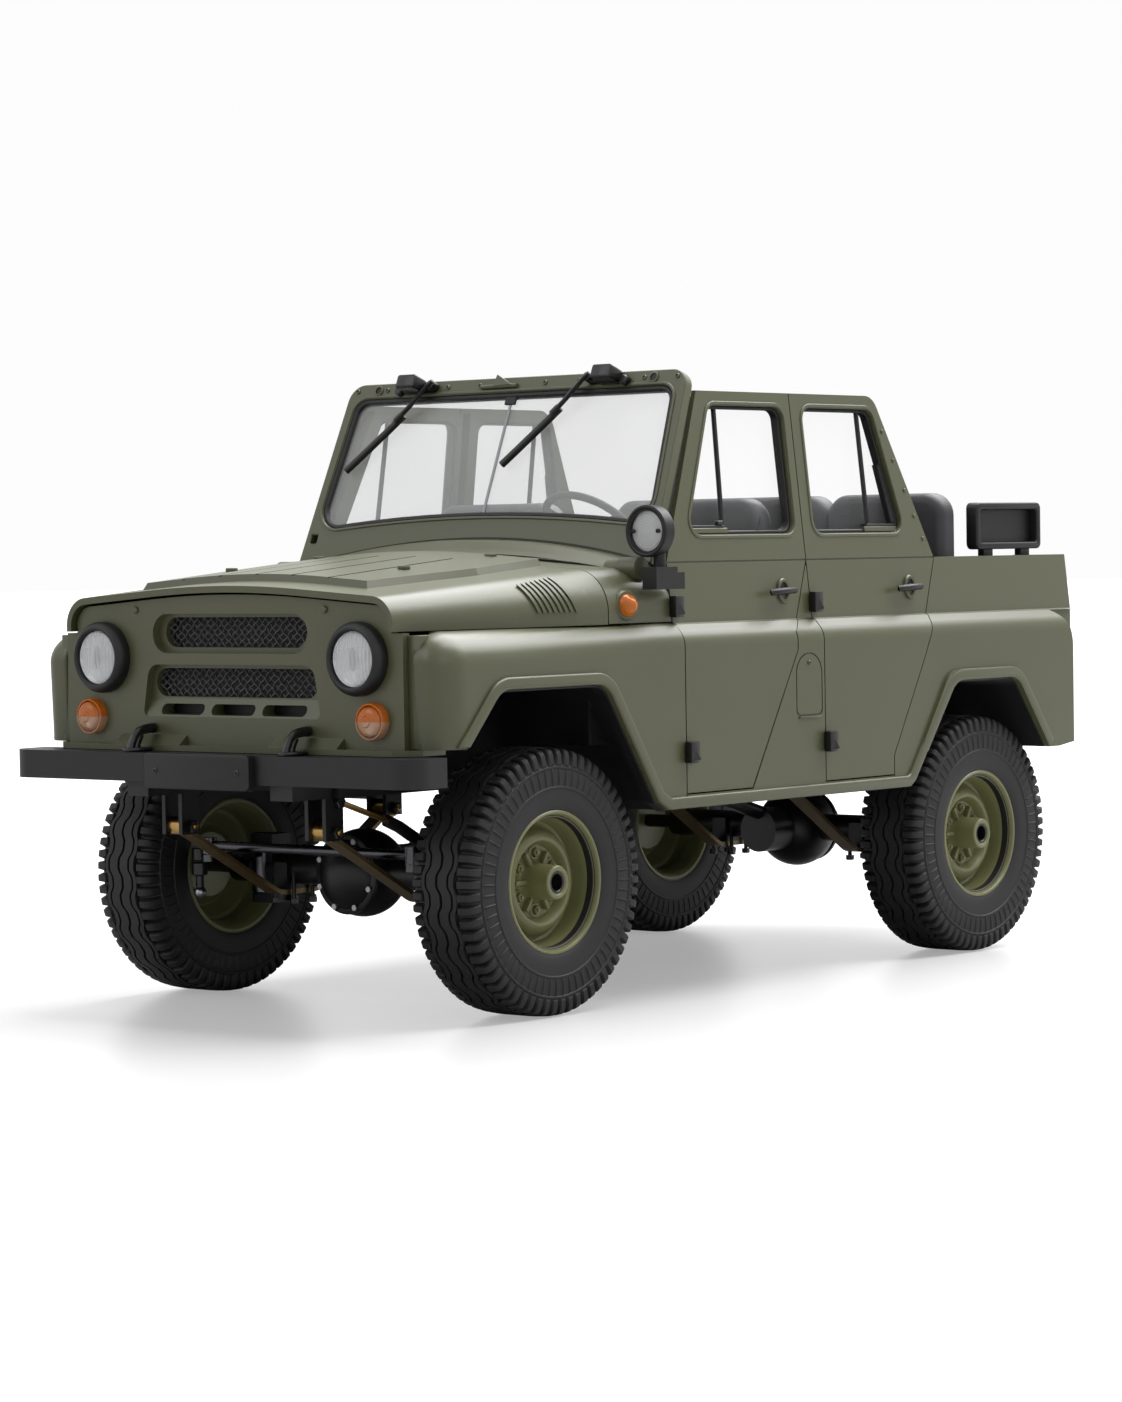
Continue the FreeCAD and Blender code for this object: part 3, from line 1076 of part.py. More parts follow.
def cabin():
    """Steering wheel, two front seats, the rear bench and the two side seat backs."""
    centre = (L.wheel_centre_x, L.wheel_centre_y, L.wheel_centre_z)
    lean = Rotation(Vector(1, 0, 0), -WHEEL_LEAN)
    ring = doc.addObject("Part::Torus", "wheel_ring")
    place(ring, centre, lean)
    bind(ring, Radius1=L.wheel_ring_radius, Radius2=L.wheel_bar_radius)
    spokes = []
    for index, angle in enumerate((0, 120, 240)):
        spoke = doc.addObject("Part::Cylinder", "wheel_spoke_%d" % index)
        turn = lean.multiply(Rotation(Vector(0, 0, 1), angle + 90)).multiply(
            Rotation(Vector(0, 1, 0), 90))
        place(spoke, centre, turn)
        bind(spoke, Radius=L.wheel_bar_radius, Height=L.wheel_ring_radius)
        spokes.append(spoke)
    column = doc.addObject("Part::Cylinder", "wheel_column")
    place(column, centre, lean.multiply(Rotation(Vector(1, 0, 0), 180)))
    bind(column, Radius=L.column_radius, Height=L.column_reach)
    kept("steering_wheel", cut("steering_wheel", fused("wheel_parts", ring, column, *spokes),
                               PARTS["dashboard"]))
    thick = L.seat_back_thick
    seat = prism("front_seat", "YZ", [[
        (L.seat_front_y, L.seat_low_z, L.overrun),
        (L.seat_rear_y - L.seat_leg, L.seat_low_z, L.overrun),
        (L.seat_rear_y, L.seat_back_top_z, L.overrun),
        (L.seat_rear_y - thick, L.seat_back_top_z, L.overrun),
        (L.seat_rear_y - thick - L.seat_leg, L.cushion_top_z, L.overrun),
        (L.seat_front_y, L.cushion_top_z, L.overrun),
    ]], L.seat_x - L.seat_half_width, L.seat_x + L.seat_half_width)
    base = box("seat_base", (L.seat_x - L.seat_half_width / 2, L.seat_x + L.seat_half_width / 2),
               (L.seat_front_y + L.seat_leg, L.seat_rear_y - L.seat_leg * 2),
               (L.rail_top_z + L.floor_thick, L.seat_low_z))
    kept("front_seats", pair("front_seats", fused("front_seat_whole", seat, base)))
    outline = [
        (L.bench_front_y, L.bench_low_z, L.overrun),
        (L.bench_rear_y, L.bench_low_z, L.overrun),
        (L.bench_rear_y, L.bench_top_z, L.overrun),
        (L.bench_rear_y - thick, L.bench_top_z, L.overrun),
        (L.bench_rear_y - thick - L.seat_leg, L.bench_low_z + thick, L.overrun),
        (L.bench_front_y, L.bench_low_z + thick, L.overrun),
    ]
    backs = prism("bench_back", "YZ", [outline], -L.bench_half_width, L.bench_half_width)
    grooves = []
    for side in (-1, 1):
        middle = L.bench_gap_x * side
        grooves.append(box("bench_groove_%d" % (side + 1),
                           (middle - L.bench_gap / 2, middle + L.bench_gap / 2),
                           (L.bench_front_y - L.overrun, L.bench_rear_y + L.overrun),
                           (L.bench_low_z + thick, L.bench_top_z + L.overrun)))
    stand = box("bench_stand", (-L.well_inner_x + L.well_wall, L.well_inner_x - L.well_wall),
                (L.bench_front_y + L.seat_leg, L.bench_rear_y - L.seat_leg),
                (L.rail_top_z + L.floor_thick, L.bench_low_z))
    kept("rear_bench", fused("rear_bench", cut("bench_backs", backs, *grooves), stand))
    back = box("jump_seat_back", (L.jump_x - L.jump_thick / 2, L.jump_x + L.jump_thick / 2),
               (L.jump_front_y, L.jump_rear_y), (L.jump_low_z, L.jump_top_z))
    pieces = [back]
    for index, y in enumerate((L.jump_front_y + L.jump_post_y, L.jump_rear_y - L.jump_post_y)):
        pieces.append(rod("jump_post_%d" % index, "Z", (L.jump_x, y, L.belt_z),
                          L.jump_post_radius, L.jump_low_z - L.belt_z))
    rail = box("jump_rail", (L.jump_x - L.jump_thick / 2, L.crease_x - L.overrun),
               (L.jump_front_y, L.jump_rear_y), (L.belt_z, L.belt_z + L.skin))
    kept("side_seat_backs", pair("side_seat_backs", fused("jump_seat", rail, *pieces)))


def chassis():
    """Two rails with cross members and the hangers that hold the springs."""
    low, top = L.rail_low_z, L.rail_top_z
    half = L.rail_width / 2
    pieces = []
    for side in (-1, 1):
        x = L.rail_x * side
        pieces.append(box("rail_%d" % (side + 1), (x - half, x + half),
                          (L.rail_front_y, L.rail_rear_y), (low, top)))
    inner = L.rail_x - half
    for index, y in enumerate((L.motor_front_y, L.motor_rear_y - L.cross_thick, L.gear_front_y,
                               L.rail_rear_y - L.cross_thick)):
        pieces.append(box("cross_member_%d" % index, (-inner, inner), (y, y + L.cross_thick),
                          (low, top)))
    for index, (y, z) in enumerate((
            (L.front_eye_y, L.front_eye_z), (L.front_heel_y, L.front_heel_z),
            (L.rear_toe_y, L.rear_toe_z), (L.rear_eye_y, L.rear_eye_z))):
        for side in (-1, 1):
            for flank in (-1, 1):
                inner_x = L.spring_x * side + (L.spring_width / 2) * flank
                outer_x = inner_x + L.hanger_thick * flank
                spread = (inner_x, outer_x) if flank > 0 else (outer_x, inner_x)
                plate = box("hanger_%d_%d_%d" % (index, side + 1, flank + 1), spread,
                            (y - L.hanger_width / 2, y + L.hanger_width / 2),
                            (z - L.eye_radius, low))
                pieces.append(plate)
    kept("chassis_frame", fused("chassis_frame", *pieces))
    outline = [(L.gear_front_y, L.gear_low_z), (L.gear_rear_y, L.gear_low_z),
               (L.gear_rear_y, top), (L.gear_front_y + L.cross_thick, top),
               (L.gear_front_y + L.cross_thick, low), (L.gear_front_y, low)]
    gearbox = prism("gearbox", "YZ", [outline], -L.gear_half_width, L.gear_half_width)
    motor = box("motor_block", (-L.motor_half_width, L.motor_half_width),
                (L.motor_front_y, L.motor_rear_y), (top, L.motor_top_z))
    kept("motor_and_gearbox", group("motor_and_gearbox", motor, gearbox))


def spring(name, toe, heel, axle_y):
    """A leaf spring from eye to eye, low under the axle."""
    thick = L.leaf_thick
    low = L.spring_seat_z - thick
    reach = L.eye_radius - thick / 2
    flat = L.axle_tube_radius + L.spring_clip_height + L.spring_bend_radius / 3
    leaf = prism(name + "_leaf", "YZ", [[
        (toe[0], toe[1] - reach),
        (axle_y - flat, low, L.spring_bend_radius + thick),
        (axle_y + flat, low, L.spring_bend_radius + thick),
        (heel[0], heel[1] - reach),
        (heel[0], heel[1] - reach + thick),
        (axle_y + flat, low + thick, L.spring_bend_radius),
        (axle_y - flat, low + thick, L.spring_bend_radius),
        (toe[0], toe[1] - reach + thick),
    ]], L.spring_x - L.spring_width / 2, L.spring_x + L.spring_width / 2)
    eyes = [rod("%s_eye_%d" % (name, index), "X",
                (L.spring_x - L.spring_width / 2, end[0], end[1]), L.eye_radius, L.spring_width)
            for index, end in enumerate((toe, heel))]
    return fused(name, leaf, *eyes)


def axle_pad(name, axle_y):
    """Blocks between an axle tube and its two springs."""
    half = L.spring_width / 2
    reach = L.axle_tube_radius + L.spring_clip_height
    return [box("%s_pad_%d" % (name, side + 1),
                (L.spring_x * side - half, L.spring_x * side + half),
                (axle_y - reach, axle_y + reach),
                (L.spring_seat_z, L.tyre_radius + L.axle_tube_radius / 2))
            for side in (-1, 1)]


def ball(name, centre, radius):
    """A ball with its poles on the X axis, inside the tube that runs through it."""
    solid = doc.addObject("Part::Sphere", name)
    place(solid, centre, AXIS_TURNS["X"])
    bind(solid, Radius=radius)
    return solid


def axles():
    """Rear axle with its stub shafts, front axle with its yokes, and four leaf springs."""
    wheel_z = L.tyre_radius
    rear_y, front_y = L.rear_axle_y, L.front_axle_y
    hub_back = L.wheel_x - L.tyre_half_width - L.seam
    tip = L.wheel_x + L.hub_reach - L.hub_reach / 3
    rear = [
        rod("rear_tube", "X", (-hub_back, rear_y, wheel_z), L.axle_tube_radius, hub_back * 2),
        rod("rear_shaft", "X", (-tip, rear_y, wheel_z), L.stub_radius, tip * 2),
        ball("rear_diff", (0, rear_y, wheel_z), L.diff_radius),
        rod("rear_nose", "Y", (0, rear_y - L.diff_nose_reach, wheel_z), L.diff_nose_radius,
            L.diff_nose_reach),
    ]
    kept("rear_axle", fused("rear_axle", *rear, *axle_pad("rear", rear_y)))
    yoke_low = wheel_z - L.knuckle_half_height - L.yoke_thick - L.seam
    yoke_high = wheel_z + L.knuckle_half_height + L.seam
    end = L.kingpin_x - L.knuckle_radius - L.seam
    front = [
        rod("front_tube", "X", (-end, front_y, wheel_z), L.axle_tube_radius, end * 2),
        ball("front_diff", (0, front_y, wheel_z), L.diff_radius),
        rod("front_nose", "Y", (0, front_y, wheel_z), L.diff_nose_radius, L.diff_nose_reach),
    ]
    for side in (-1, 1):
        x = L.kingpin_x * side
        tag = str(side + 1)
        web = (end - L.yoke_thick, end) if side > 0 else (-end, -end + L.yoke_thick)
        front.append(box("yoke_web_" + tag, web,
                         (front_y - L.knuckle_radius, front_y + L.knuckle_radius),
                         (yoke_low, yoke_high + L.yoke_thick)))
        for level, z in (("low", yoke_low), ("high", yoke_high)):
            front.append(rod("yoke_%s_%s" % (level, tag), "Z", (x, front_y, z),
                             L.knuckle_radius, L.yoke_thick))
            reach = (end - L.yoke_thick, x) if side > 0 else (x, -end + L.yoke_thick)
            front.append(box("yoke_arm_%s_%s" % (level, tag), reach,
                             (front_y - L.knuckle_radius, front_y + L.knuckle_radius),
                             (z, z + L.yoke_thick)))
        front.append(rod("kingpin_" + tag, "Z", (x, front_y, yoke_low), L.kingpin_radius,
                         yoke_high - yoke_low + L.yoke_thick))
    kept("front_axle", fused("front_axle", *front, *axle_pad("front", front_y)))
    springs = []
    for name, toe, heel, y in (
            ("front_spring", (L.front_eye_y, L.front_eye_z), (L.front_heel_y, L.front_heel_z),
             front_y),
            ("rear_spring", (L.rear_toe_y, L.rear_toe_z), (L.rear_eye_y, L.rear_eye_z), rear_y)):
        left = spring(name, toe, heel, y)
        springs += [left, mirrored(name + "_right", left)]
    kept("leaf_springs", group("leaf_springs", *springs))


def shaft_between(name, start, end, radius):
    """A round bar in the middle plane between two points in y and z."""
    run = number(end[0]) - number(start[0])
    drop = number(end[1]) - number(start[1])
    solid = doc.addObject("Part::Cylinder", name)
    place(solid, (0, start[0], start[1]), Rotation(Vector(0, 0, 1), Vector(0, run, drop)))
    bind(solid, Radius=radius)
    solid.setExpression("Height", "sqrt((%s)^2 + (%s)^2)" % (
        text_of(end[0] - start[0]), text_of(end[1] - start[1])))
    return solid


def driveshafts():
    """Front and rear propeller shafts between the gearbox and the axles."""
    z = L.tyre_radius
    front = cut("front_shaft",
                shaft_between("front_shaft_bar", (L.front_axle_y, z), (L.gear_front_y, L.shaft_z),
                              L.shaft_radius), PARTS["front_axle"])
    rear = cut("rear_shaft",
               shaft_between("rear_shaft_bar", (L.gear_rear_y, L.shaft_z), (L.rear_axle_y, z),
                             L.shaft_radius), PARTS["rear_axle"])
    kept("driveshafts", cut("driveshafts", group("shaft_pair", front, rear),
                            PARTS["motor_and_gearbox"]))


def knuckles():
    """Steering knuckles with their arms and stub shafts, the tie rod and the drag link."""
    z, y = L.tyre_radius, L.front_axle_y
    x = L.kingpin_x
    half = L.knuckle_half_height
    hub_back = L.wheel_x - L.tyre_half_width - L.seam
    tip = L.wheel_x + L.hub_reach - L.hub_reach / 3
    arm_y = y - L.steer_arm_reach
    pieces = [
        rod("knuckle_barrel", "Z", (x, y, z - half), L.knuckle_radius, half * 2),
        rod("knuckle_stub", "X", (x, y, z), L.stub_radius, tip - x),
        rod("knuckle_flange", "X", (x + L.kingpin_radius, y, z), L.axle_tube_radius,
            hub_back - x - L.kingpin_radius),
        box("steer_arm", (x - L.steer_arm_width / 2, x + L.steer_arm_width / 2),
            (arm_y, y), (L.steer_arm_z - L.steer_arm_thick / 2, L.steer_arm_z + L.steer_arm_thick / 2)),
        rod("steer_eye", "Z", (x, arm_y, L.steer_arm_z - L.steer_arm_thick / 2),
            L.steer_arm_width / 2, L.steer_arm_thick),
        rod("steer_pin", "Z", (x, arm_y, L.steer_arm_z), L.ball_pin_radius,
            L.tie_rod_z + L.ball_radius - L.steer_arm_z),
    ]
    bore = rod("knuckle_bore", "Z", (x, y, z - half - L.overrun),
               L.kingpin_radius + L.pin_play, half * 2 + L.overrun * 2)
    left = kept("knuckle_left", cut("knuckle_left", fused("knuckle_parts", *pieces), bore))
    kept("knuckle_right", mirrored("knuckle_right", left))
    bar = rod("tie_bar", "X", (-x, arm_y, L.tie_rod_z), L.tie_rod_radius, x * 2)
    eyes, bores = [], []
    for side in (-1, 1):
        eyes.append(rod("tie_eye_%d" % (side + 1), "Z",
                        (x * side, arm_y, L.tie_rod_z - L.ball_radius), L.ball_radius,
                        L.ball_radius * 2))
        bores.append(rod("tie_bore_%d" % (side + 1), "Z",
                         (x * side, arm_y, L.tie_rod_z - L.ball_radius - L.overrun),
                         L.ball_pin_radius + L.pin_play, L.ball_radius * 2 + L.overrun * 2))
    kept("tie_rod", cut("tie_rod", fused("tie_rod_bar", bar, *eyes), *bores))


def tyre(name):
    """A tyre about the X axis with round shoulders, with the tread left smooth."""
    half, tread = L.tyre_half_width, L.tread_half_width
    bead = L.rim_half_width - L.rim_lip
    outline = [
        (-bead, L.rim_radius), (-bead, L.rim_seat_radius), (bead, L.rim_seat_radius),
        (bead, L.rim_radius),
        (half, L.rim_radius + L.overrun, L.overrun), (half, L.tyre_shoulder_radius, L.overrun),
        (tread, L.tyre_radius, L.skin), (-tread, L.tyre_radius, L.skin),
        (-half, L.tyre_shoulder_radius, L.overrun),
        (-half, L.rim_radius + L.overrun, L.overrun),
    ]
    return turned(name, outline)


def rim(name):
    """A pressed wheel: rolled lips, well, dished disc and a hub with a capped bore."""
    half, lip = L.rim_half_width, L.rim_lip
    seat, well = L.rim_seat_radius, L.rim_well_radius
    cap = L.hub_reach * 2 / 3 + L.seam
    outline = [
        (half, L.rim_radius), (half - lip, L.rim_radius), (half - lip, seat),
        (half / 3, seat), (half / 4, well), (-half / 3, well), (-half / 2, seat),
        (-half + lip, seat), (-half + lip, L.rim_radius), (-half, L.rim_radius),
        (-half, seat - L.rim_wall), (-half / 2, seat - L.rim_wall),
        (-half / 3, well - L.rim_wall), (half / 4 - L.disc_thick, well - L.rim_wall),
        (half / 4 - L.disc_thick, L.dish_radius + L.disc_thick),
        (half / 4, L.dish_radius), (half / 4, L.hub_radius + L.disc_thick),
        (-half / 4, L.hub_radius), (-half / 2, L.hub_bore_radius),
        (cap, L.hub_bore_radius), (cap, 0), (L.hub_reach, 0), (L.hub_reach, L.hub_radius),
        (half / 4 + L.disc_thick, L.hub_radius + L.seam),
        (half / 4 + L.disc_thick, L.dish_radius), (half / 2, well),
        (half / 2 + L.disc_thick, seat - L.rim_wall), (half, seat - L.rim_wall),
    ]
    return turned(name, outline)


def moved(label, source, at, turn):
    """A copy of a turned piece at its own place."""
    copy = doc.addObject("Part::Feature", label)
    copy.Shape = source.Shape.copy()
    place(copy, at, turn)
    return kept(label, copy)


def wheels():
    """Four road wheels and the spare, each a tyre on its pressed wheel."""
    master_tyre = tyre("tyre_master")
    master_rim = rim("rim_master")
    doc.recompute()
    for tag, side, y in (("front_left", 1, L.front_axle_y), ("front_right", -1, L.front_axle_y),
                         ("rear_left", 1, L.rear_axle_y), ("rear_right", -1, L.rear_axle_y)):
        at = (L.wheel_x * side, y, L.tyre_radius)
        turn = Rotation(Vector(0, 0, 1), 180) if side < 0 else Rotation()
        moved("tyre_" + tag, master_tyre, at, turn)
        moved("rim_" + tag, master_rim, at, turn)
    spare_y = L.tail_y + L.tailgate_thick + L.seam + L.spare_gap + L.tyre_half_width
    for label, source in (("spare_tyre", master_tyre), ("spare_rim", master_rim)):
        moved(label, source, (0, spare_y, L.spare_z), Rotation(Vector(0, 0, 1), 90))


def tailgate():
    """Drop-down tailgate with the boss that carries the spare wheel."""
    face = L.tail_y + L.seam
    back = face + L.tailgate_thick
    panel = prism("tailgate_panel", "XZ", [both_sides([
        (L.tailgate_half_width, L.tailgate_low_z), (L.tailgate_half_width, L.crease_z),
        (L.tailgate_half_width - L.overrun, L.belt_z - L.seam)])], face, back)
    boss = rod("spare_boss", "Y", (0, back, L.spare_z), L.hub_radius,
               L.tyre_half_width - L.rim_half_width / 2)
    stud = rod("spare_stud", "Y", (0, back, L.spare_z), L.stub_radius,
               L.tyre_half_width + L.hub_reach * 2 / 3)
    kept("tailgate", cut("tailgate", fused("tailgate_parts", panel, boss, stud),
                         PARTS["spare_rim"]))


def write_parts():
    """Check every object and shape, then write each sub-part to its own file."""
    doc.recompute()
    for thing in doc.Objects:
        if "Invalid" in thing.State or "Error" in thing.State:
            raise RuntimeError("%s did not build" % thing.Label)
    os.makedirs("parts", exist_ok=True)
    for label, thing in PARTS.items():
        shape = thing.Shape
        if shape.isNull() or not shape.isValid() or not shape.Solids:
            raise RuntimeError("%s has no valid solid" % label)
        shape.exportStep("parts/%s.step" % label)
        print(label, len(shape.Solids), round(shape.Volume, 1), shape.BoundBox)


doors()
body_sides()
floor_and_wells()
scuttle()
fenders()
front_panel()
bonnet()
bumper()
lamps()
windscreen()
cabin()
chassis()
axles()
driveshafts()
knuckles()
wheels()
tailgate()
write_parts()
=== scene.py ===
import math

import bpy
import bmesh
from mathutils import Matrix, Vector
from mathutils.geometry import tessellate_polygon


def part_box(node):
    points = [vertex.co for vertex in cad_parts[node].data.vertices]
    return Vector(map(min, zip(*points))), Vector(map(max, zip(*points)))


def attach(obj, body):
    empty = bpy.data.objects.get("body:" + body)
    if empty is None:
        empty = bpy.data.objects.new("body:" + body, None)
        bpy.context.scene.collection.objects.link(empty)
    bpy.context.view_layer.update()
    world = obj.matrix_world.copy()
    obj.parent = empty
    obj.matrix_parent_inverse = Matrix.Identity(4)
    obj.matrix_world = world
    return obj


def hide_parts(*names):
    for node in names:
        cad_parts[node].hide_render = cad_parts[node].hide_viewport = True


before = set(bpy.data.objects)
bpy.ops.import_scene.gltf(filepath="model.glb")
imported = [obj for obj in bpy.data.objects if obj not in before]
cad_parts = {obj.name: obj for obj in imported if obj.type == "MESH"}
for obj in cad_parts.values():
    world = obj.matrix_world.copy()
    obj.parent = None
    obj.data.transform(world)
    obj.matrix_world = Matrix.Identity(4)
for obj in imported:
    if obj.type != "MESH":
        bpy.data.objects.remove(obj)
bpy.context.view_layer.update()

MM = 0.001


# camera
def aim_camera():
    """The photograph's view: a long lens at bumper height, off the front left corner."""
    azimuth, elevation, roll = math.radians(39.807), math.radians(2.166), -0.0162
    focal_px, long_side_px, distance = 4003.13, 1402, 1397.42 * MM
    target = Vector((-8.347, -12.951, 93.874)) * MM
    right = Vector((math.cos(azimuth), math.sin(azimuth), 0))
    back = Vector((math.sin(azimuth) * math.cos(elevation),
                   -math.cos(azimuth) * math.cos(elevation), math.sin(elevation)))
    up = back.cross(right)
    across = right * math.cos(roll) + up * math.sin(roll)
    upward = up * math.cos(roll) - right * math.sin(roll)
    data = bpy.data.cameras.new("camera")
    data.sensor_fit = "AUTO"
    data.sensor_width = 36
    data.lens = focal_px / long_side_px * data.sensor_width
    data.clip_start = 0.01
    data.clip_end = 50
    camera = bpy.data.objects.new("camera", data)
    bpy.context.collection.objects.link(camera)
    turn = Matrix((across, upward, back)).transposed().to_4x4()
    camera.matrix_world = Matrix.Translation(target + back * distance) @ turn
    bpy.context.scene.camera = camera


aim_camera()


# materials
def linear(code):
    """A hex sRGB colour as a linear colour."""
    values = [int(code[i:i + 2], 16) / 255 for i in (1, 3, 5)]
    return [v / 12.92 if v <= 0.04045 else ((v + 0.055) / 1.055) ** 2.4 for v in values] + [1.0]


def node(tree, kind, links=None, **settings):
    """Adds a node; settings are properties or input defaults, links are input name to socket."""
    made = tree.nodes.new(kind)
    for key, value in settings.items():
        name = key.replace("_", " ")
        if hasattr(made, key):
            setattr(made, key, value)
        else:
            match = [s for s in made.inputs if s.name.lower() == name.lower() and s.enabled]
            match[0].default_value = value
    for key, socket in (links or {}).items():
        target = made.inputs[key] if isinstance(key, (int, str)) else key
        tree.links.new(socket, target)
    return made


def finish_of(name, base, roughness, grain_mm=None, grain_depth=0.02, tint=None, tint_mm=25,
              **shader):
    """A surface: its colour with slow variation, roughness that wanders, and a fine grain."""
    made = bpy.data.materials.new(name)
    made.use_nodes = True
    tree = made.node_tree
    principled = tree.nodes["Principled BSDF"]
    for key, value in shader.items():
        principled.inputs[key.replace("_", " ")].default_value = value
    where = node(tree, "ShaderNodeTexCoord").outputs["Object"]
    cloud = node(tree, "ShaderNodeTexNoise", {"Vector": where}, scale=1 / (tint_mm * MM),
                 detail=4.0)
    if tint:
        mix = node(tree, "ShaderNodeMix", {"Factor": cloud.outputs["Fac"]}, data_type="RGBA")
        mix.inputs[6].default_value = linear(base)
        mix.inputs[7].default_value = linear(tint)
        tree.links.new(mix.outputs[2], principled.inputs["Base Color"])
    else:
        principled.inputs["Base Color"].default_value = linear(base)
    spread = node(tree, "ShaderNodeMapRange", {"Value": cloud.outputs["Fac"]},
                  to_min=roughness - 0.05, to_max=roughness + 0.05)
    tree.links.new(spread.outputs["Result"], principled.inputs["Roughness"])
    if grain_mm:
        grain = node(tree, "ShaderNodeTexNoise", {"Vector": where}, scale=1 / (grain_mm * MM),
                     detail=2.0)
        bump = node(tree, "ShaderNodeBump", {"Height": grain.outputs["Fac"]},
                    strength=0.6, distance=grain_depth * MM)
        tree.links.new(bump.outputs["Normal"], principled.inputs["Normal"])
    return made


MATERIALS = {
    # satin enamel sprayed on moulded ABS: soft broad highlights, faint orange peel
    "olive_enamel": finish_of("olive_enamel", "#4e5037", 0.37, 0.7, 0.012, "#55573e", 60,
                              Specular_IOR_Level=0.55),
    # the same enamel on the wheels, a shade yellower
    "wheel_enamel": finish_of("wheel_enamel", "#6e6f4a", 0.38, 0.6, 0.012, "#76774f", 18),
    # moulded black ABS: fine spark-eroded grain, a soft sheen
    "black_abs": finish_of("black_abs", "#151516", 0.45, 0.35, 0.02, "#1a1a1b", 20,
                           Specular_IOR_Level=0.35),
    # glossier black nylon of hinges, hooks and wipers
    "black_nylon": finish_of("black_nylon", "#0e0e0f", 0.33, 0.3, 0.012, "#131314", 12,
                             Specular_IOR_Level=0.45),
    # soft tyre rubber: matt, dusty on its faces
    "tyre_rubber": finish_of("tyre_rubber", "#151516", 0.6, 0.25, 0.02, "#1c1c1d", 14,
                             Specular_IOR_Level=0.4),
    # extruded rubber seals round the glass
    "seal_rubber": finish_of("seal_rubber", "#0f0f10", 0.5, None, 0, "#141415", 10,
                             Specular_IOR_Level=0.4),
    # clear polycarbonate panes: almost invisible, with a faint reflection
    "clear_polycarbonate": finish_of("clear_polycarbonate", "#eef2f2", 0.06, None, 0, None, 40,
                                     Alpha=0.04, IOR=1.5),
    # vacuum-metallised reflector behind the lenses
    "metallised_reflector": finish_of("metallised_reflector", "#b9babd", 0.14, None, 0, None, 10,
                                      Metallic=1.0),
    # clear moulded acrylic lens
    "clear_acrylic": finish_of("clear_acrylic", "#f4f6f8", 0.1, None, 0, None, 10,
                               Alpha=0.5, IOR=1.49),
    # orange moulded acrylic lens
    "orange_acrylic": finish_of("orange_acrylic", "#d0680e", 0.1, None, 0, "#dc7a1c", 6,
                                IOR=1.49, Alpha=0.8),
    # grey moulded vinyl-grained seats
    "seat_abs": finish_of("seat_abs", "#2b2a2e", 0.48, 0.5, 0.03, "#323135", 22,
                          Specular_IOR_Level=0.4),
    # lower half of the signal lamps: clear acrylic tinted by the orange behind it
    "pale_orange_acrylic": finish_of("pale_orange_acrylic", "#e0a478", 0.08, None, 0, "#e8ba98", 5,
                                     IOR=1.49, Alpha=0.5),
    # the windscreen's sheet with a faint white layer of painted reflection, so what is behind it
    # looks paler
    "screen_painted_reflection": finish_of("screen_painted_reflection", "#f6f8f9", 0.06, None, 0, None, 40, Alpha=0.24,
                               IOR=1.5),
    # black powder coat on the frame, axles and springs
    "black_powder_coat": finish_of("black_powder_coat", "#0f0f10", 0.4, 0.4, 0.02, "#151516", 15,
                                   Specular_IOR_Level=0.4),
    # turned steel rods and shafts
    "turned_steel": finish_of("turned_steel", "#8c8c8e", 0.3, 0.2, 0.006, "#9a9a9c", 8,
                              Metallic=1.0),
    # browned spring leaves, their old brass colour showing through
    "bronzed_steel": finish_of("bronzed_steel", "#66563a", 0.38, 0.3, 0.012, "#786646", 9,
                               Metallic=0.6),
    # blackened woven wire of the grille
    "blackened_wire": finish_of("blackened_wire", "#39393b", 0.4, None, 0, "#424244", 6,
                                Metallic=0.4),
    # blued steel of the tie rod and the knuckles
    "blued_steel": finish_of("blued_steel", "#4c4c50", 0.26, 0.2, 0.006, "#5a5a5e", 8,
                             Metallic=1.0),
    # brass posts and rods of the suspension
    "brass": finish_of("brass", "#a5834c", 0.3, 0.2, 0.006, "#b0905a", 8, Metallic=1.0),
    # machined aluminium motor can
    "machined_aluminium": finish_of("machined_aluminium", "#77787b", 0.38, 0.3, 0.01, "#838487", 12,
                                    Metallic=1.0),
}


# building helpers
def shaped(name, points, faces, material, sharp=35, weld=True, recalc=True):
    """A mesh object in metres from millimetre points; faces turned outwards, edges kept crisp."""
    mesh = bpy.data.meshes.new(name)
    mesh.from_pydata([Vector(p) * MM for p in points], [], faces)
    work = bmesh.new()
    work.from_mesh(mesh)
    if weld:
        bmesh.ops.remove_doubles(work, verts=work.verts, dist=0.002 * MM)
    if recalc:
        bmesh.ops.recalc_face_normals(work, faces=work.faces)
    work.to_mesh(mesh)
    work.free()
    return finished(bpy.data.objects.new(name, mesh), material, sharp)


def finished(thing, material, sharp=35):
    """Links an object, smooths it up to an angle and gives it its material."""
    if thing.name not in bpy.context.collection.objects:
        bpy.context.collection.objects.link(thing)
    mesh = thing.data
    mesh.shade_smooth()
    mesh.set_sharp_from_angle(angle=math.radians(sharp))
    mesh.materials.clear()
    mesh.materials.append(MATERIALS[material])
    return thing


def placed(thing, turn=None, at=(0, 0, 0)):
    """Puts a turn and a place in millimetres into the mesh, so its object stays at the origin."""
    move = Matrix.Translation(Vector(at) * MM) @ (turn.to_4x4() if turn else Matrix())
    thing.data.transform(move)
    if move.is_negative:
        thing.data.flip_normals()
    return thing


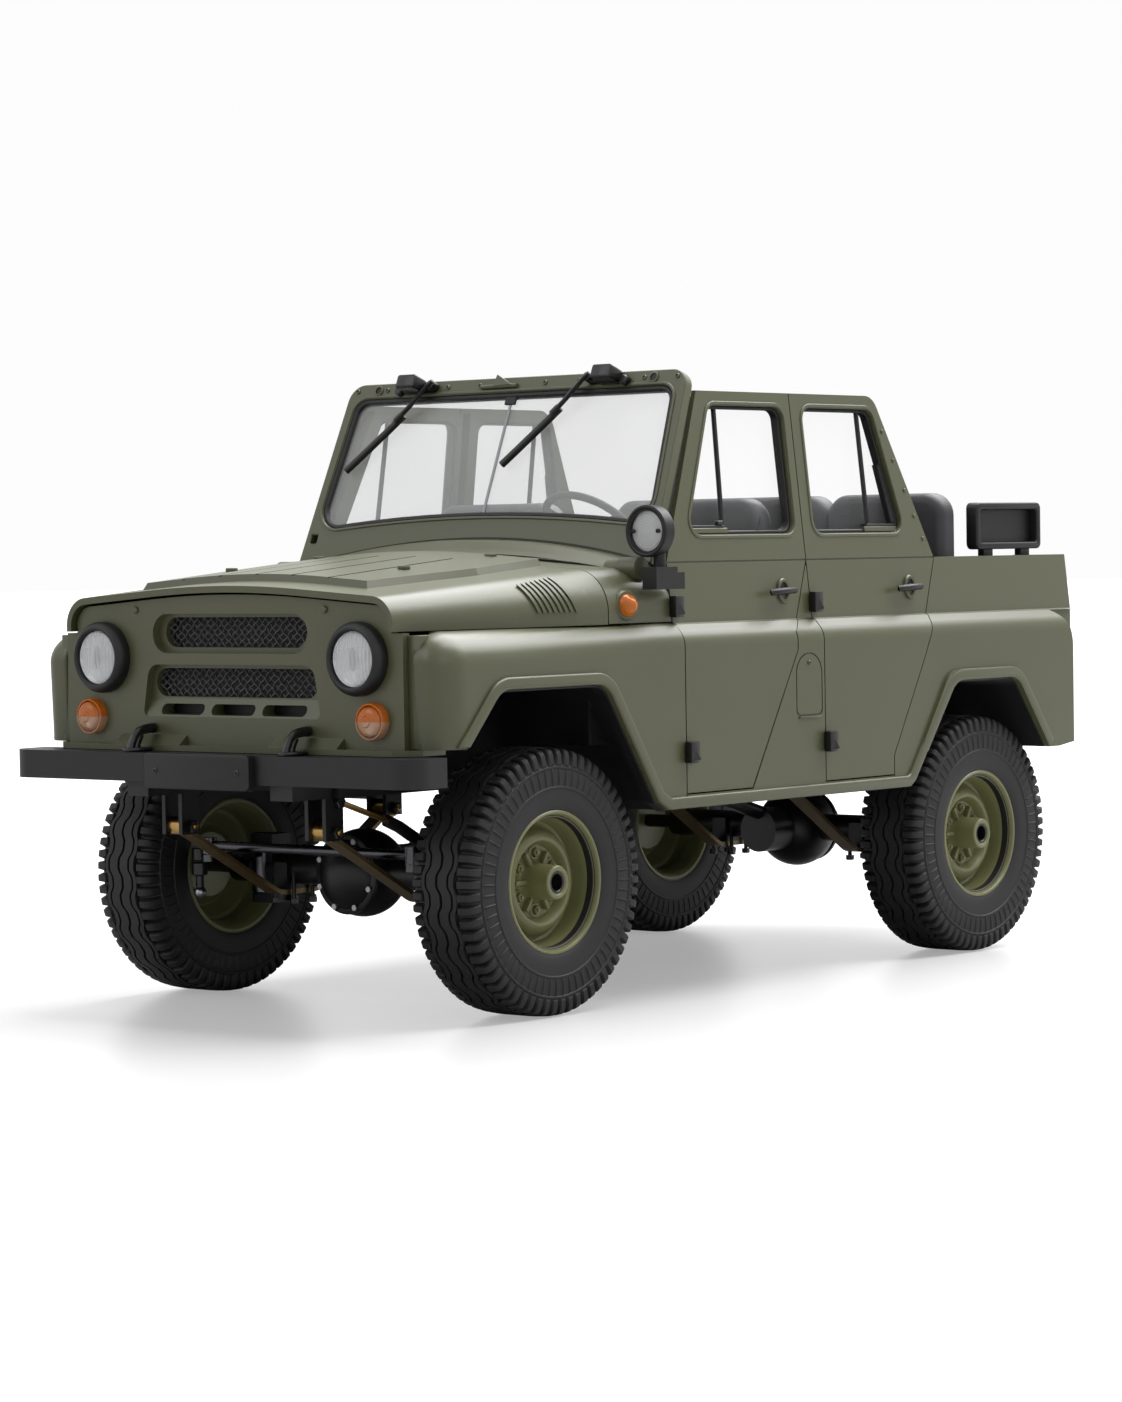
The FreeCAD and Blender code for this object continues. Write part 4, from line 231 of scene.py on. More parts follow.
def joined(name, things):
    """One object from several, keeping each one's materials."""
    work = bmesh.new()
    materials = []
    for thing in things:
        start = len(work.faces)
        work.from_mesh(thing.data)
        work.faces.ensure_lookup_table()
        for slot in thing.data.materials:
            if slot not in materials:
                materials.append(slot)
        for face in work.faces[start:]:
            face.material_index = materials.index(thing.data.materials[face.material_index])
    mesh = bpy.data.meshes.new(name)
    work.to_mesh(mesh)
    work.free()
    for slot in materials:
        mesh.materials.append(slot)
    for thing in things:
        bpy.data.objects.remove(thing, do_unlink=True)
    whole = bpy.data.objects.new(name, mesh)
    bpy.context.collection.objects.link(whole)
    return whole


def copied(thing, name, turn=None, at=(0, 0, 0)):
    """A copy with its own mesh, turned and placed."""
    again = bpy.data.objects.new(name, thing.data.copy())
    bpy.context.collection.objects.link(again)
    return placed(again, turn, at)


def spun(name, profile, material, steps=96, sharp=35):
    """A profile of (along X, radius) pairs turned about the X axis; a closed loop of points."""
    points, faces = [], []
    count = len(profile)
    for step in range(steps):
        angle = 2 * math.pi * step / steps
        for along, radius in profile:
            points.append((along, radius * math.cos(angle), radius * math.sin(angle)))
    for step in range(steps):
        a, b = step * count, (step + 1) % steps * count
        for index in range(count):
            after = (index + 1) % count
            faces.append((a + index, a + after, b + after, b + index))
    return shaped(name, points, faces, material, sharp)


def lofted(name, rings, material, sharp=35):
    """A closed skin through rings of equal count, with both ends closed."""
    points = [p for ring in rings for p in ring]
    size = len(rings[0])
    faces = []
    for row in range(len(rings) - 1):
        for index in range(size):
            a, b = row * size + index, row * size + (index + 1) % size
            faces.append((a, b, b + size, a + size))
    faces += [tuple(range(size)), tuple((len(rings) - 1) * size + i for i in range(size))]
    return shaped(name, points, faces, material, sharp)


def block(name, low, high, material, round_mm=0.6, steps=2):
    """A block with rounded edges between two corners."""
    mesh = bpy.data.meshes.new(name)
    work = bmesh.new()
    bmesh.ops.create_cube(work, size=1)
    size = Vector(high) - Vector(low)
    middle = (Vector(high) + Vector(low)) / 2
    bmesh.ops.transform(work, matrix=Matrix.Translation(middle * MM) @ Matrix.Diagonal(
        (*(size * MM), 1)), verts=work.verts)
    if round_mm:
        bmesh.ops.bevel(work, geom=work.edges[:], offset=round_mm * MM, segments=steps,
                        affect="EDGES", profile=0.5, clamp_overlap=True)
    work.to_mesh(mesh)
    work.free()
    return finished(bpy.data.objects.new(name, mesh), material, 30)


def pipe(name, route, radius, material, sides=12, closed=False, flat=1.0):
    """A round or flattened bar along points in millimetres."""
    route = [Vector(p) for p in route]
    points, faces = [], []
    count = len(route)
    normal = None
    for index, point in enumerate(route):
        before = route[index - 1] if index or closed else point
        after = route[(index + 1) % count] if index < count - 1 or closed else point
        along = (after - before).normalized()
        if normal is None:
            normal = along.orthogonal().normalized()
            if abs(along.z) < 0.9:
                normal = (Vector((0, 0, 1)) - along * along.z).normalized()
        normal = (normal - along * normal.dot(along)).normalized()
        side = along.cross(normal)
        for step in range(sides):
            angle = 2 * math.pi * step / sides
            points.append(point + normal * math.cos(angle) * radius * flat
                          + side * math.sin(angle) * radius)
    for index in range(count if closed else count - 1):
        a, b = index * sides, (index + 1) % count * sides
        for step in range(sides):
            after = (step + 1) % sides
            faces.append((a + step, a + after, b + after, b + step))
    if not closed:
        faces.append(tuple(range(sides)))
        faces.append(tuple((count - 1) * sides + step for step in range(sides)))
    return shaped(name, points, faces, material, 40)


def repeated(name, shape, count, material, step_mm=(0, 0, 0), turn=(0, 0, 0)):
    """Geometry Nodes: count copies of a shape, each a step and a turn on from the last."""
    tree = bpy.data.node_groups.new(name + "_tree", "GeometryNodeTree")
    face = tree.interface
    face.new_socket("Geometry", in_out="INPUT", socket_type="NodeSocketGeometry")
    face.new_socket("Geometry", in_out="OUTPUT", socket_type="NodeSocketGeometry")
    sizes = {"Count": ("NodeSocketInt", count), "Step": ("NodeSocketVector", Vector(step_mm) * MM),
             "Turn": ("NodeSocketVector", turn)}
    sockets = {key: face.new_socket(key, in_out="INPUT", socket_type=kind)
               for key, (kind, _) in sizes.items()}
    start = node(tree, "NodeGroupInput")
    line = node(tree, "GeometryNodeMeshLine",
                {"Count": start.outputs["Count"], "Offset": start.outputs["Step"]})
    index = node(tree, "GeometryNodeInputIndex")
    turning = node(tree, "ShaderNodeVectorMath",
                   {0: start.outputs["Turn"], "Scale": index.outputs[0]}, operation="SCALE")
    copies = node(tree, "GeometryNodeInstanceOnPoints",
                  {"Points": line.outputs["Mesh"], "Instance": start.outputs["Geometry"],
                   "Rotation": turning.outputs[0]})
    real = node(tree, "GeometryNodeRealizeInstances", {"Geometry": copies.outputs[0]})
    painted = node(tree, "GeometryNodeSetMaterial", {"Geometry": real.outputs[0]})
    painted.inputs["Material"].default_value = MATERIALS[material]
    node(tree, "NodeGroupOutput", {"Geometry": painted.outputs[0]})
    change = shape.modifiers.new("copies", "NODES")
    change.node_group = tree
    for key, (_, value) in sizes.items():
        change[sockets[key].identifier] = value
    bpy.context.view_layer.update()
    mesh = bpy.data.meshes.new_from_object(shape.evaluated_get(
        bpy.context.evaluated_depsgraph_get()))
    bpy.data.objects.remove(shape, do_unlink=True)
    return finished(bpy.data.objects.new(name, mesh), material, 35)


def settle(thing, body, slot, *nodes):
    """The piece rides on its body and stands for CAD nodes; the slot it is given is not used."""
    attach(thing, body)
    if nodes:
        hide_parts(*nodes)
    return thing


HALF_TURN = Matrix.Rotation(math.pi, 3, "Z")
MIRROR = Matrix.Diagonal((-1, 1, 1))

# places shared by several pieces, in millimetres
FRONT_AXLE_Y, REAR_AXLE_Y, AXLE_Z, WHEEL_X = -125, 113, 42.4, 70
PANEL_Y = -185.5
SEARCH_LAMP = (82.6, -78.0, 152.2)
BELT_X, BELT_Z, DOOR_LEAN = 83.47, 122.3, 0.1155


# tyres
LOBES, WAVES, SAMPLES = 64, 22, 12


def tyre_section(lug, rib, wave):
    """Half of the tyre's section, outside to crown, at a lug or at the gap beside it."""
    side = 0.34 * rib
    walls = [(9.9, 20.4), (10.6, 21.6), (11.5, 22.6), (12.1, 24.2), (12.45, 26.5), (12.55, 29.3),
             (12.85, 29.6), (12.85, 30.0), (12.6, 30.3), (12.6 + side, 30.9), (12.62 + side, 33.0),
             (12.45 + side, 35.2), (12.4, 35.6), (12.7, 35.9), (12.7, 36.3), (12.3, 36.6)]
    full = [(12.35, 36.9), (12.6, 37.2), (12.5, 38.6), (12.25, 40.2), (11.7, 41.3), (10.8, 41.9),
            (9.4, 42.15), (7.5, 42.3)]
    worn = [(12.1, 36.9), (11.9, 37.3), (11.6, 38.2), (11.2, 39.1), (10.6, 39.7), (9.9, 40.0),
            (9.0, 40.15), (8.0, 40.25)]
    shoulder = [(a + (c - a) * lug, b + (d - b) * lug) for (a, b), (c, d) in zip(worn, full)]
    crown = [(7.3, 42.3 if lug > 0.5 else 40.6), (7.0 + wave * 0.4, 40.8), (6.6 + wave * 0.6, 40.8),
             (6.5 + wave * 0.7, 42.3), (4.9 + wave, 42.38), (4.8 + wave, 40.9), (4.2 + wave, 40.9),
             (4.1 + wave, 42.4), (0.5 + wave, 42.4), (0.4 + wave, 40.9)]
    return walls + shoulder + crown


def tyre(name, turn, at):
    """Bias-ply tread: zigzag ribs down the middle, two-lobed lugs over each shoulder."""
    points, faces = [], []
    total = LOBES * SAMPLES
    shape = [0, 0, 0.5, 1, 1, 1, 1, 1, 1, 1, 0.5, 0]
    for step in range(total):
        angle = 2 * math.pi * step / total
        lobe, place = divmod(step, SAMPLES)
        lug = shape[place]
        if lobe % 2 and place == 2:
            lug = 0.75
        rib = 1.0 if place in (5, 6) else 0.0
        wave = 1.0 * math.sin(WAVES * angle) + 0.12 * math.sin(3 * WAVES * angle)
        outer = tyre_section(lug, rib, wave)
        inner = [(-x, r) for x, r in tyre_section(lug, rib, -wave)]
        ring = outer + inner[::-1]
        count = len(ring)
        for x, radius in ring:
            points.append((x, radius * math.sin(angle), radius * math.cos(angle)))
    for step in range(total):
        a, b = step * count, (step + 1) % total * count
        for index in range(count):
            after = (index + 1) % count
            faces.append((a + index, a + after, b + after, b + index))
    return placed(shaped(name, points, faces, "tyre_rubber", 32), turn, at)


# wheels
RIM_SECTION = [
    (11.5, 22.7), (11.8, 22.3), (11.7, 21.7), (11.2, 21.3), (10.2, 21.1), (8.6, 20.9), (7.4, 20.3),
    (5.2, 19.9), (3.0, 19.6), (1.9, 19.1), (1.4, 18.3), (1.7, 17.6), (3.2, 16.9), (4.9, 16.0),
    (5.9, 14.9), (6.2, 13.9), (5.9, 13.0), (4.9, 12.3), (3.4, 11.9), (2.7, 11.5), (2.5, 10.9),
    (2.4, 7.4), (2.7, 6.6), (3.6, 6.0), (5.0, 5.7), (11.6, 5.5), (12.4, 5.3), (12.7, 4.9),
    (12.7, 4.1), (12.4, 3.6), (12.0, 3.4), (7.2, 3.2), (7.0, 2.9), (7.0, 0.0), (0.6, 0.0),
    (0.6, 10.8), (2.2, 12.2), (3.9, 13.2), (4.4, 14.2), (3.6, 15.2), (0.8, 16.6), (-0.4, 17.6),
    (-0.8, 18.8), (-2.4, 19.2), (-4.8, 18.9), (-6.2, 18.9), (-7.4, 19.4), (-9.6, 19.8),
    (-10.8, 20.6), (-11.6, 21.4), (-11.8, 22.2), (-11.5, 22.7), (-10.6, 22.6), (-10.2, 21.8),
    (-10.1, 20.6), (10.1, 20.6), (10.2, 21.8), (10.6, 22.6),
]


def wheel(name, turn, at):
    """A pressed steel wheel: rolled lip, deep well, domed ring, six studs round an open hub."""
    shell = spun(name + "_shell", RIM_SECTION, "wheel_enamel", 120, 30)
    pocket = [(2.3, 0), (2.9, 0), (2.9, 1.35), (4.1, 1.35), (4.3, 1.15), (4.3, 0.75), (4.9, 0.7),
              (4.9, 0)]
    nut = placed(spun(name + "_nut", pocket, "wheel_enamel", 6, 20), at=(0, 0, 9.1))
    nuts = repeated(name + "_nuts", nut, 6, "wheel_enamel", turn=(math.pi / 3, 0, 0))
    rest = [(2.3, 1.3), (2.8, 1.3), (3.2, 1.7), (3.2, 2.1), (2.8, 2.5), (2.3, 2.5)]
    seat = placed(spun(name + "_seat", rest, "wheel_enamel", 20, 20), at=(0, 0, 9.1))
    seats = repeated(name + "_seats", seat, 6, "wheel_enamel", turn=(math.pi / 3, 0, 0))
    web = block(name + "_web", (2.2, -0.7, 5.2), (4.6, 0.7, 10.6), "wheel_enamel", 0.5)
    placed(web, Matrix.Rotation(math.pi / 6, 3, "X"))
    webs = repeated(name + "_webs", web, 6, "wheel_enamel", turn=(math.pi / 3, 0, 0))
    bore = placed(spun(name + "_bore", [(7.1, 0), (7.4, 0), (7.4, 3.0), (7.1, 3.0)], "black_nylon",
                       24, 30))
    sleeve = spun(name + "_sleeve", [(7.2, 2.7), (12.1, 2.7), (12.3, 2.9), (12.3, 3.4), (7.2, 3.4)],
                  "black_nylon", 32, 30)
    whole = joined(name, [shell, nuts, seats, webs, bore, sleeve])
    return placed(whole, turn, at)


def wheels():
    for side, turn in (("left", Matrix.Identity(3)), ("right", HALF_TURN)):
        sign = 1 if side == "left" else -1
        for end, along in (("front", FRONT_AXLE_Y), ("rear", REAR_AXLE_Y)):
            tag = "%s_%s" % (end, side)
            at = (WHEEL_X * sign, along, AXLE_Z)
            settle(tyre("tyre_" + tag + "_tread", turn, at), "wheel_" + tag, "tyre_rubber",
                   "tyre_" + tag)
            settle(wheel("wheel_" + tag + "_pressed", turn, at), "wheel_" + tag, "green_wheel",
                   "rim_" + tag)
    low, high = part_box("spare_tyre")
    at = [(low[i] + high[i]) / 2 / MM for i in range(3)]
    back = Matrix.Rotation(math.pi / 2, 3, "Z")
    settle(tyre("tyre_spare_tread", back, at), "tailgate", "tyre_rubber", "spare_tyre")
    settle(wheel("wheel_spare_pressed", back, at), "tailgate", "green_wheel", "spare_rim")


wheels()


# flat pieces and small parts
SLOPE = Vector((0, 0.3805, 0.9248))
OUTWARD = Vector((0, -0.9248, 0.3805))
SCREEN_FOOT = Vector((0, -69.1, 146.6))


def on_screen(x, up, out):
    """A point of the windscreen's plane: across, up the slope, and out of its front face."""
    return Vector((x, 0, 0)) + SCREEN_FOOT + SLOPE * up + OUTWARD * out


def on_door(out, y, z):
    """A point of the left doors' leaning upper face; out is measured from that face."""
    return Vector((BELT_X - DOOR_LEAN * (z - BELT_Z) + out, y, z))


PLANES = {
    "YZ": lambda u, v, w: Vector((w, u, v)),
    "XZ": lambda u, v, w: Vector((u, w, v)),
    "XY": lambda u, v, w: Vector((u, v, w)),
    "SCREEN": on_screen,
    "DOOR": lambda u, v, w: on_door(w, u, v),
}


def rounded(ring, steps=6):
    """A ring of (u, v) or (u, v, radius) corners with the radii turned into arcs."""
    points = []
    count = len(ring)
    for index, corner in enumerate(ring):
        here = Vector(corner[:2])
        if len(corner) < 3:
            points.append(here)
            continue
        before = (Vector(ring[index - 1][:2]) - here).normalized()
        after = (Vector(ring[(index + 1) % count][:2]) - here).normalized()
        half = before.angle(after) / 2
        middle = here + (before + after).normalized() * (corner[2] / math.sin(half))
        first = here + before * (corner[2] / math.tan(half)) - middle
        last = here + after * (corner[2] / math.tan(half)) - middle
        total = first.angle_signed(last)
        for step in range(steps + 1):
            turn = Matrix.Rotation(-total * step / steps, 2)
            points.append(middle + turn @ first)
    return points


def slab(name, outline, low, high, plane, material, holes=(), edge=0.3, steps=1):
    """A flat outline given thickness, its edges broken or rolled; holes go through."""
    rings = []
    for index, ring in enumerate([outline, *holes]):
        ring = [Vector(p[:2]) for p in ring]
        area = sum(a.x * b.y - b.x * a.y for a, b in zip(ring, ring[1:] + ring[:1]))
        rings.append(ring if (area > 0) == (index == 0) else ring[::-1])

    def inset(ring, reach):
        moved = []
        for index, point in enumerate(ring):
            before = point - ring[index - 1]
            after = ring[(index + 1) % len(ring)] - point
            sides = [Vector((-d.y, d.x)).normalized() for d in (before, after) if d.length > 1e-6]
            normal = sum(sides, Vector((0, 0))).normalized()
            share = max(0.4, normal.dot(sides[0]))
            moved.append(point + normal * reach / share)
        return moved
    levels = []
    for step in range(steps + 1):
        angle = math.pi / 2 * step / steps
        levels.append((edge * (1 - math.sin(angle)), low + edge * (1 - math.cos(angle))))
    levels += [(reach, high + low - depth) for reach, depth in reversed(levels)]
    points, faces = [], []
    size = sum(len(ring) for ring in rings)
    for reach, depth in levels:
        for ring in rings:
            points += [PLANES[plane](p.x, p.y, depth) for p in inset(ring, reach)]
    for level in range(len(levels) - 1):
        start = level * size
        for ring in rings:
            count = len(ring)
            for index in range(count):
                a, b = start + index, start + (index + 1) % count
                faces.append((a, b, b + size, a + size))
            start += count
    cap = tessellate_polygon([[p.to_3d() for p in inset(ring, edge)] for ring in rings])
    top = (len(levels) - 1) * size
    faces += [tuple(face) for face in cap] + [tuple(top + i for i in face) for face in cap]
    return shaped(name, points, faces, material, 35)


def facing(thing, axis, at):
    """Turns a piece made along X to an axis and puts it in place."""
    turn = Vector((1, 0, 0)).rotation_difference(Vector(axis)).to_matrix()
    return placed(thing, turn, at)


def screw(name, at, axis, radius, height, material, pit=True):
    """A small round head with a socket, or a plain dome."""
    head = [(-0.4, radius), (height * 0.5, radius), (height * 0.9, radius * 0.8)]
    head += [(height, radius * 0.5), (height * 0.3, radius * 0.45), (height * 0.3, 0), (-0.4, 0)] \
        if pit else [(height, radius * 0.4), (height, 0), (-0.4, 0)]
    return facing(spun(name, head, material, 18, 30), axis, at)


def box_ring(low_u, high_u, low_v, high_v, radius=None):
    corners = [(low_u, low_v), (high_u, low_v), (high_u, high_v), (low_u, high_v)]
    return rounded([(*c, radius) for c in corners]) if radius else corners


# windscreen
def crown_drop(radius, x):
    """How far a crowned line of this radius has dropped at a place across."""
    return radius - math.sqrt(radius ** 2 - x * x)


def lip_line(x):
    """How far up the slope the cowl's crowned lip reaches, by place across."""
    return 4.7 - crown_drop(325, x)


def screen_opening(grow):
    sill = [(x, 12.8 - crown_drop(600, x) - grow) for x in range(60, -61, -12)]
    foot, top = 74.5 + grow, 71.0 + grow
    return rounded([(top, 58.3 + grow, 6 + grow), (foot, 8.2 - grow, 9 + grow), *sill,
                    (-foot, 8.2 - grow, 9 + grow), (-top, 58.3 + grow, 6 + grow)], 10)


def windscreen():
    foot = [(x, lip_line(x)) for x in range(-76, 77, 8)]
    outline = rounded([(-78.8, -5.1), *foot, (78.8, -5.1), (75.0, 63.9, 6.5),
                       (-75.0, 63.9, 6.5)], 8)
    slots = [box_ring(side * 74.4 - 1.5, side * 74.4 + 1.5, 4.0, 7.3, 0.4) for side in (-1, 1)]
    panel = slab("screen_panel", outline, -4, 0, "SCREEN", "olive_enamel",
                 [screen_opening(0), *slots], 0.35)
    rim = slab("screen_rim", screen_opening(1.1), -0.2, 0.45, "SCREEN", "olive_enamel",
               [screen_opening(0.1)], 0.2)
    pieces = [panel, rim]
    for x in (-71.3, -57.4, -29.3, -14.5, 14.5, 29.3, 57.4, 71.3):
        pieces.append(screw("screen_screw_%d" % x, on_screen(x, 61.2, 0), OUTWARD, 0.9, 0.6,
                            "olive_enamel"))
    ring = [(-0.2, 1.3), (0.55, 1.35), (0.6, 1.6), (0.4, 1.95), (-0.2, 2.0)]
    for side in (-1, 1):
        pieces.append(facing(spun("screen_eye_%d" % side, ring, "olive_enamel", 24), OUTWARD,
                             on_screen(side * 61.4, 61.1, 0)))
        pieces.append(facing(spun("screen_eye_hole_%d" % side, [(-0.1, 1.3), (0.12, 1.3), (0.12, 0),
                                                                (-0.1, 0)], "black_abs", 24),
                             OUTWARD, on_screen(side * 61.4, 61.1, 0)))
    latch = slab("screen_latch", [(-7.6, 60.0), (0.8, 60.6), (-6.8, 64.6)], -0.2, 1.6, "SCREEN",
                 "olive_enamel", (), 0.15)
    bar = pipe("screen_latch_bar", [on_screen(-13.5, 60.3, 0.6), on_screen(2.5, 60.5, 0.6)], 0.75,
               "olive_enamel")
    settle(joined("windscreen_pressing", pieces + [latch, bar]), "body", "army_green",
           "windscreen_frame")
    seal = slab("screen_seal", screen_opening(-0.02), -3.4, -0.3, "SCREEN", "seal_rubber",
                [screen_opening(-1.7)], 0.4)
    back = slab("screen_slot_backs", box_ring(-76.4, -72.4, 3.6, 7.8), -3.6, -3.0, "SCREEN",
                "seal_rubber", (), 0.1)
    pad = slab("screen_pad", box_ring(-2.4, 2.4, 54.0, 57.6, 0.5), -1.5, -0.6, "SCREEN",
               "seal_rubber", (), 0.2)
    gap = pipe("screen_gap", [on_screen(x, lip_line(x) - 0.15, -0.35) for x in range(-78, 79, 6)],
               0.42, "seal_rubber", 8)
    settle(joined("windscreen_seals", [seal, back, copied(back, "screen_slot_back_right", MIRROR),
                                       pad, gap]), "body", "black_plastic")
    strip = slab("screen_divider", box_ring(-0.55, 0.55, 9.5, 56.8), -1.6, -1.1, "SCREEN",
                 "machined_aluminium", (), 0.1)
    settle(strip, "body", "steel")
    # the pane's faint white layer is painted reflection
    glass = slab("windscreen_pane", screen_opening(-0.9), -2.4, -1.6, "SCREEN", "screen_painted_reflection",
                 (), 0.1)
    settle(glass, "body", "clear_plastic", "windscreen_glass")


def cowl_lip():
    """The crowned step of the cowl that meets the windscreen's foot."""
    section = ((-80, 0), (-78.6, 0.1), (-76.5, 0.42), (-74.2, 0.82), (-72.8, 0.97), (-71.6, 1.0),
               (-67.6, 1.0), (-67.2, 0.0))
    rings = []
    for step in range(-24, 25):
        x = 77.6 * step / 24
        low = 146.3 - crown_drop(420, x) - 0.25
        rise = SCREEN_FOOT.z + SLOPE.z * (lip_line(x) - 0.45) - low
        rings.append([(x, y, low + rise * share) for y, share in section])
    settle(lofted("cowl_lip", rings, "olive_enamel", 50), "body", "army_green")


def wipers():
    pieces = []
    for side in (-1, 1):
        tag = "left" if side > 0 else "right"
        middle = side * 43.6
        case = rounded([(middle - 4.2, 59.0, 0.6), (middle + 4.2, 59.0, 0.6),
                        (middle + 4.2, 63.9, 1.0), (middle - 4.2, 63.9, 1.0)], 4)
        pieces.append(slab("wiper_case_" + tag, case, 0.05, 7.0, "SCREEN", "black_nylon", (), 0.7,
                           2))
        pieces.append(slab("wiper_neck_" + tag, box_ring(min(side * 34.5, side * 42),
                                                         max(side * 34.5, side * 42), 59.6, 62.2,
                                                         0.5), 0.05, 2.2, "SCREEN", "black_nylon",
                           (), 0.3))
        for x, up, radius, reach in ((side * 50.2, 60.0, 1.7, 2.6), (side * 35, 61.2, 1.6, 3.9)):
            pin = [(0, radius), (reach - 0.4, radius), (reach, radius - 0.4), (reach, 0), (0, 0)]
            pieces.append(facing(spun("wiper_pin_%s_%d" % (tag, x), pin, "black_nylon", 20),
                                 OUTWARD, on_screen(x, up, 0)))
        start = (side * 35, 61.4)
        end = (-66.7, 30.7) if side < 0 else (4.6, 31.1)

        def along(share, out, start=start, end=end):
            return on_screen(start[0] + (end[0] - start[0]) * share,
                             start[1] + (end[1] - start[1]) * share, out)
        pieces.append(pipe("wiper_arm_" + tag, [along(-0.03, 3.4), along(0.03, 3.6),
                                                along(0.12, 3.1), along(0.26, 2.2),
                                                along(0.42, 1.6)], 1.5, "black_nylon", 10,
                           flat=0.55))
        pieces.append(pipe("wiper_clip_" + tag, [along(0.34, 1.5), along(0.42, 1.4)], 1.6,
                           "black_nylon", 10, flat=0.9))
        pieces.append(pipe("wiper_blade_" + tag, [along(0.34, 0.9), along(0.5, 0.7),
                                                  along(0.8, 0.6), along(1.0, 0.6)], 1.1,
                           "black_nylon", 10, flat=1.2))
    settle(joined("wiper_sets", pieces), "body", "black_plastic", "wiper_motors")


windscreen()
cowl_lip()
wipers()


# lamps
FRONT = Vector((0, -1, 0))


def fluted_lens(name, radius, seat, dome, material, height, rings=34, spokes=144):
    """A domed lens along X; height gives the relief by place across and up."""
    points, faces = [(seat + dome + height(0, 0), 0, 0)], []
    for ring in range(1, rings + 1):
        r = radius * ring / rings
        for spoke in range(spokes):
            angle = 2 * math.pi * spoke / spokes
            u, v = r * math.cos(angle), r * math.sin(angle)
            rise = dome * (1 - (ring / rings) ** 2) + (height(u, v) if ring < rings else 0)
            points.append((seat + rise, u, v))
    for spoke in range(spokes):
        after = (spoke + 1) % spokes
        faces.append((0, 1 + spoke, 1 + after))
        for ring in range(rings - 1):
            a = 1 + ring * spokes
            faces.append((a + spoke, a + spokes + spoke, a + spokes + after, a + after))
    rim = 1 + (rings - 1) * spokes
    start = len(points)
    points += [(seat - 0.5, p[1], p[2]) for p in points[rim:]]
    for spoke in range(spokes):
        after = (spoke + 1) % spokes
        faces.append((rim + spoke, start + spoke, start + after, rim + after))
    faces.append(tuple(range(start, start + spokes)))
    return shaped(name, points, faces, material, 60)


def headlamps():
    shell = [(-0.6, 11.2), (0.3, 11.5), (2.2, 11.5), (3.3, 11.2), (4.2, 10.5), (4.7, 9.8),
             (4.8, 9.3), (4.6, 8.9), (4.1, 8.7), (3.2, 8.6), (-0.6, 8.5)]
    bowl = [(0.2, 0), (0.7, 0), (0.9, 2.4), (1.6, 5.0), (2.2, 7.2), (3.0, 8.3), (3.2, 8.5),
            (2.8, 8.55), (0.2, 8.5)]
    bulb = [(0.5, 1.1), (1.8, 1.1), (2.6, 0.9), (3.2, 0.4), (3.3, 0), (0.5, 0)]

    def relief(u, v):
        band = math.exp(-((abs(v + 0.012 * u * u) - 3.4) / 0.2) ** 2)
        return 0.16 * math.cos(2 * math.pi * u / 1.3) + 0.14 * band
    rings, mirrors, lenses = [], [], []
    for side in (-1, 1):
        at = (side * 56, PANEL_Y, 114.3)
        tag = "left" if side > 0 else "right"
        rings.append(facing(spun("headlamp_boot_" + tag, shell, "seal_rubber", 72, 50), FRONT, at))
        mirrors.append(facing(spun("headlamp_bowl_" + tag, bowl, "metallised_reflector", 72, 50),
                              FRONT, at))
        mirrors.append(facing(spun("headlamp_bulb_" + tag, bulb, "metallised_reflector", 24, 50),
                              FRONT, at))
        for dx, dz, wide, tall in ((-0.75, 0, 0.22, 2.3), (0.75, 0, 0.22, 2.3), (0, 0, 0.9, 0.3),
                                   (0, 3.1, 0.3, 0.5), (0, -3.1, 0.3, 0.5)):
            mirrors.append(block("headlamp_shade_%s_%.2f_%.1f" % (tag, dx, dz),
                                 (at[0] + dx - wide, at[1] - 3.9, at[2] + dz - tall),
                                 (at[0] + dx + wide, at[1] - 3.4, at[2] + dz + tall),
                                 "blued_steel", 0.1, 1))
        lenses.append(facing(fluted_lens("headlamp_glass_" + tag, 8.65, 2.9, 1.6, "clear_acrylic",
                                         relief), FRONT, at))
    settle(joined("headlamp_boots", rings), "body", "lamp_ring", "headlamp_rings")
    disc = [(-2.4, 0), (-1.9, 0), (-1.7, 6.9), (-2.4, 7.0)]
    mirrors.append(facing(spun("search_bowl", disc, "machined_aluminium", 60, 50), FRONT,
                          SEARCH_LAMP))
    settle(joined("lamp_reflectors", mirrors), "body", "steel")
    lenses.append(facing(fluted_lens(
        "search_glass", 7.0, -1.2, 1.1, "clear_acrylic",
        lambda u, v: 0.08 * math.cos(2 * math.pi * math.hypot(u, v) / 0.9)), FRONT, SEARCH_LAMP))
    settle(joined("lamp_glasses", lenses), "body", "lamp_lens", "lamp_lenses")
    marks = [screw("search_screw_%d" % side,
                   (SEARCH_LAMP[0] + side * 5.1, SEARCH_LAMP[1] - 0.3, SEARCH_LAMP[2]), FRONT, 0.75,
                   0.5, "black_nylon") for side in (-1, 1)]
    bezel = [(-0.9, 8.45), (0.1, 8.4), (0.4, 8.0), (0.4, 7.4), (0.0, 7.05), (-0.9, 7.05)]
    marks.append(facing(spun("search_bezel", bezel, "black_abs", 72, 50), FRONT, SEARCH_LAMP))
    settle(joined("search_trim", marks), "body", "black_plastic")


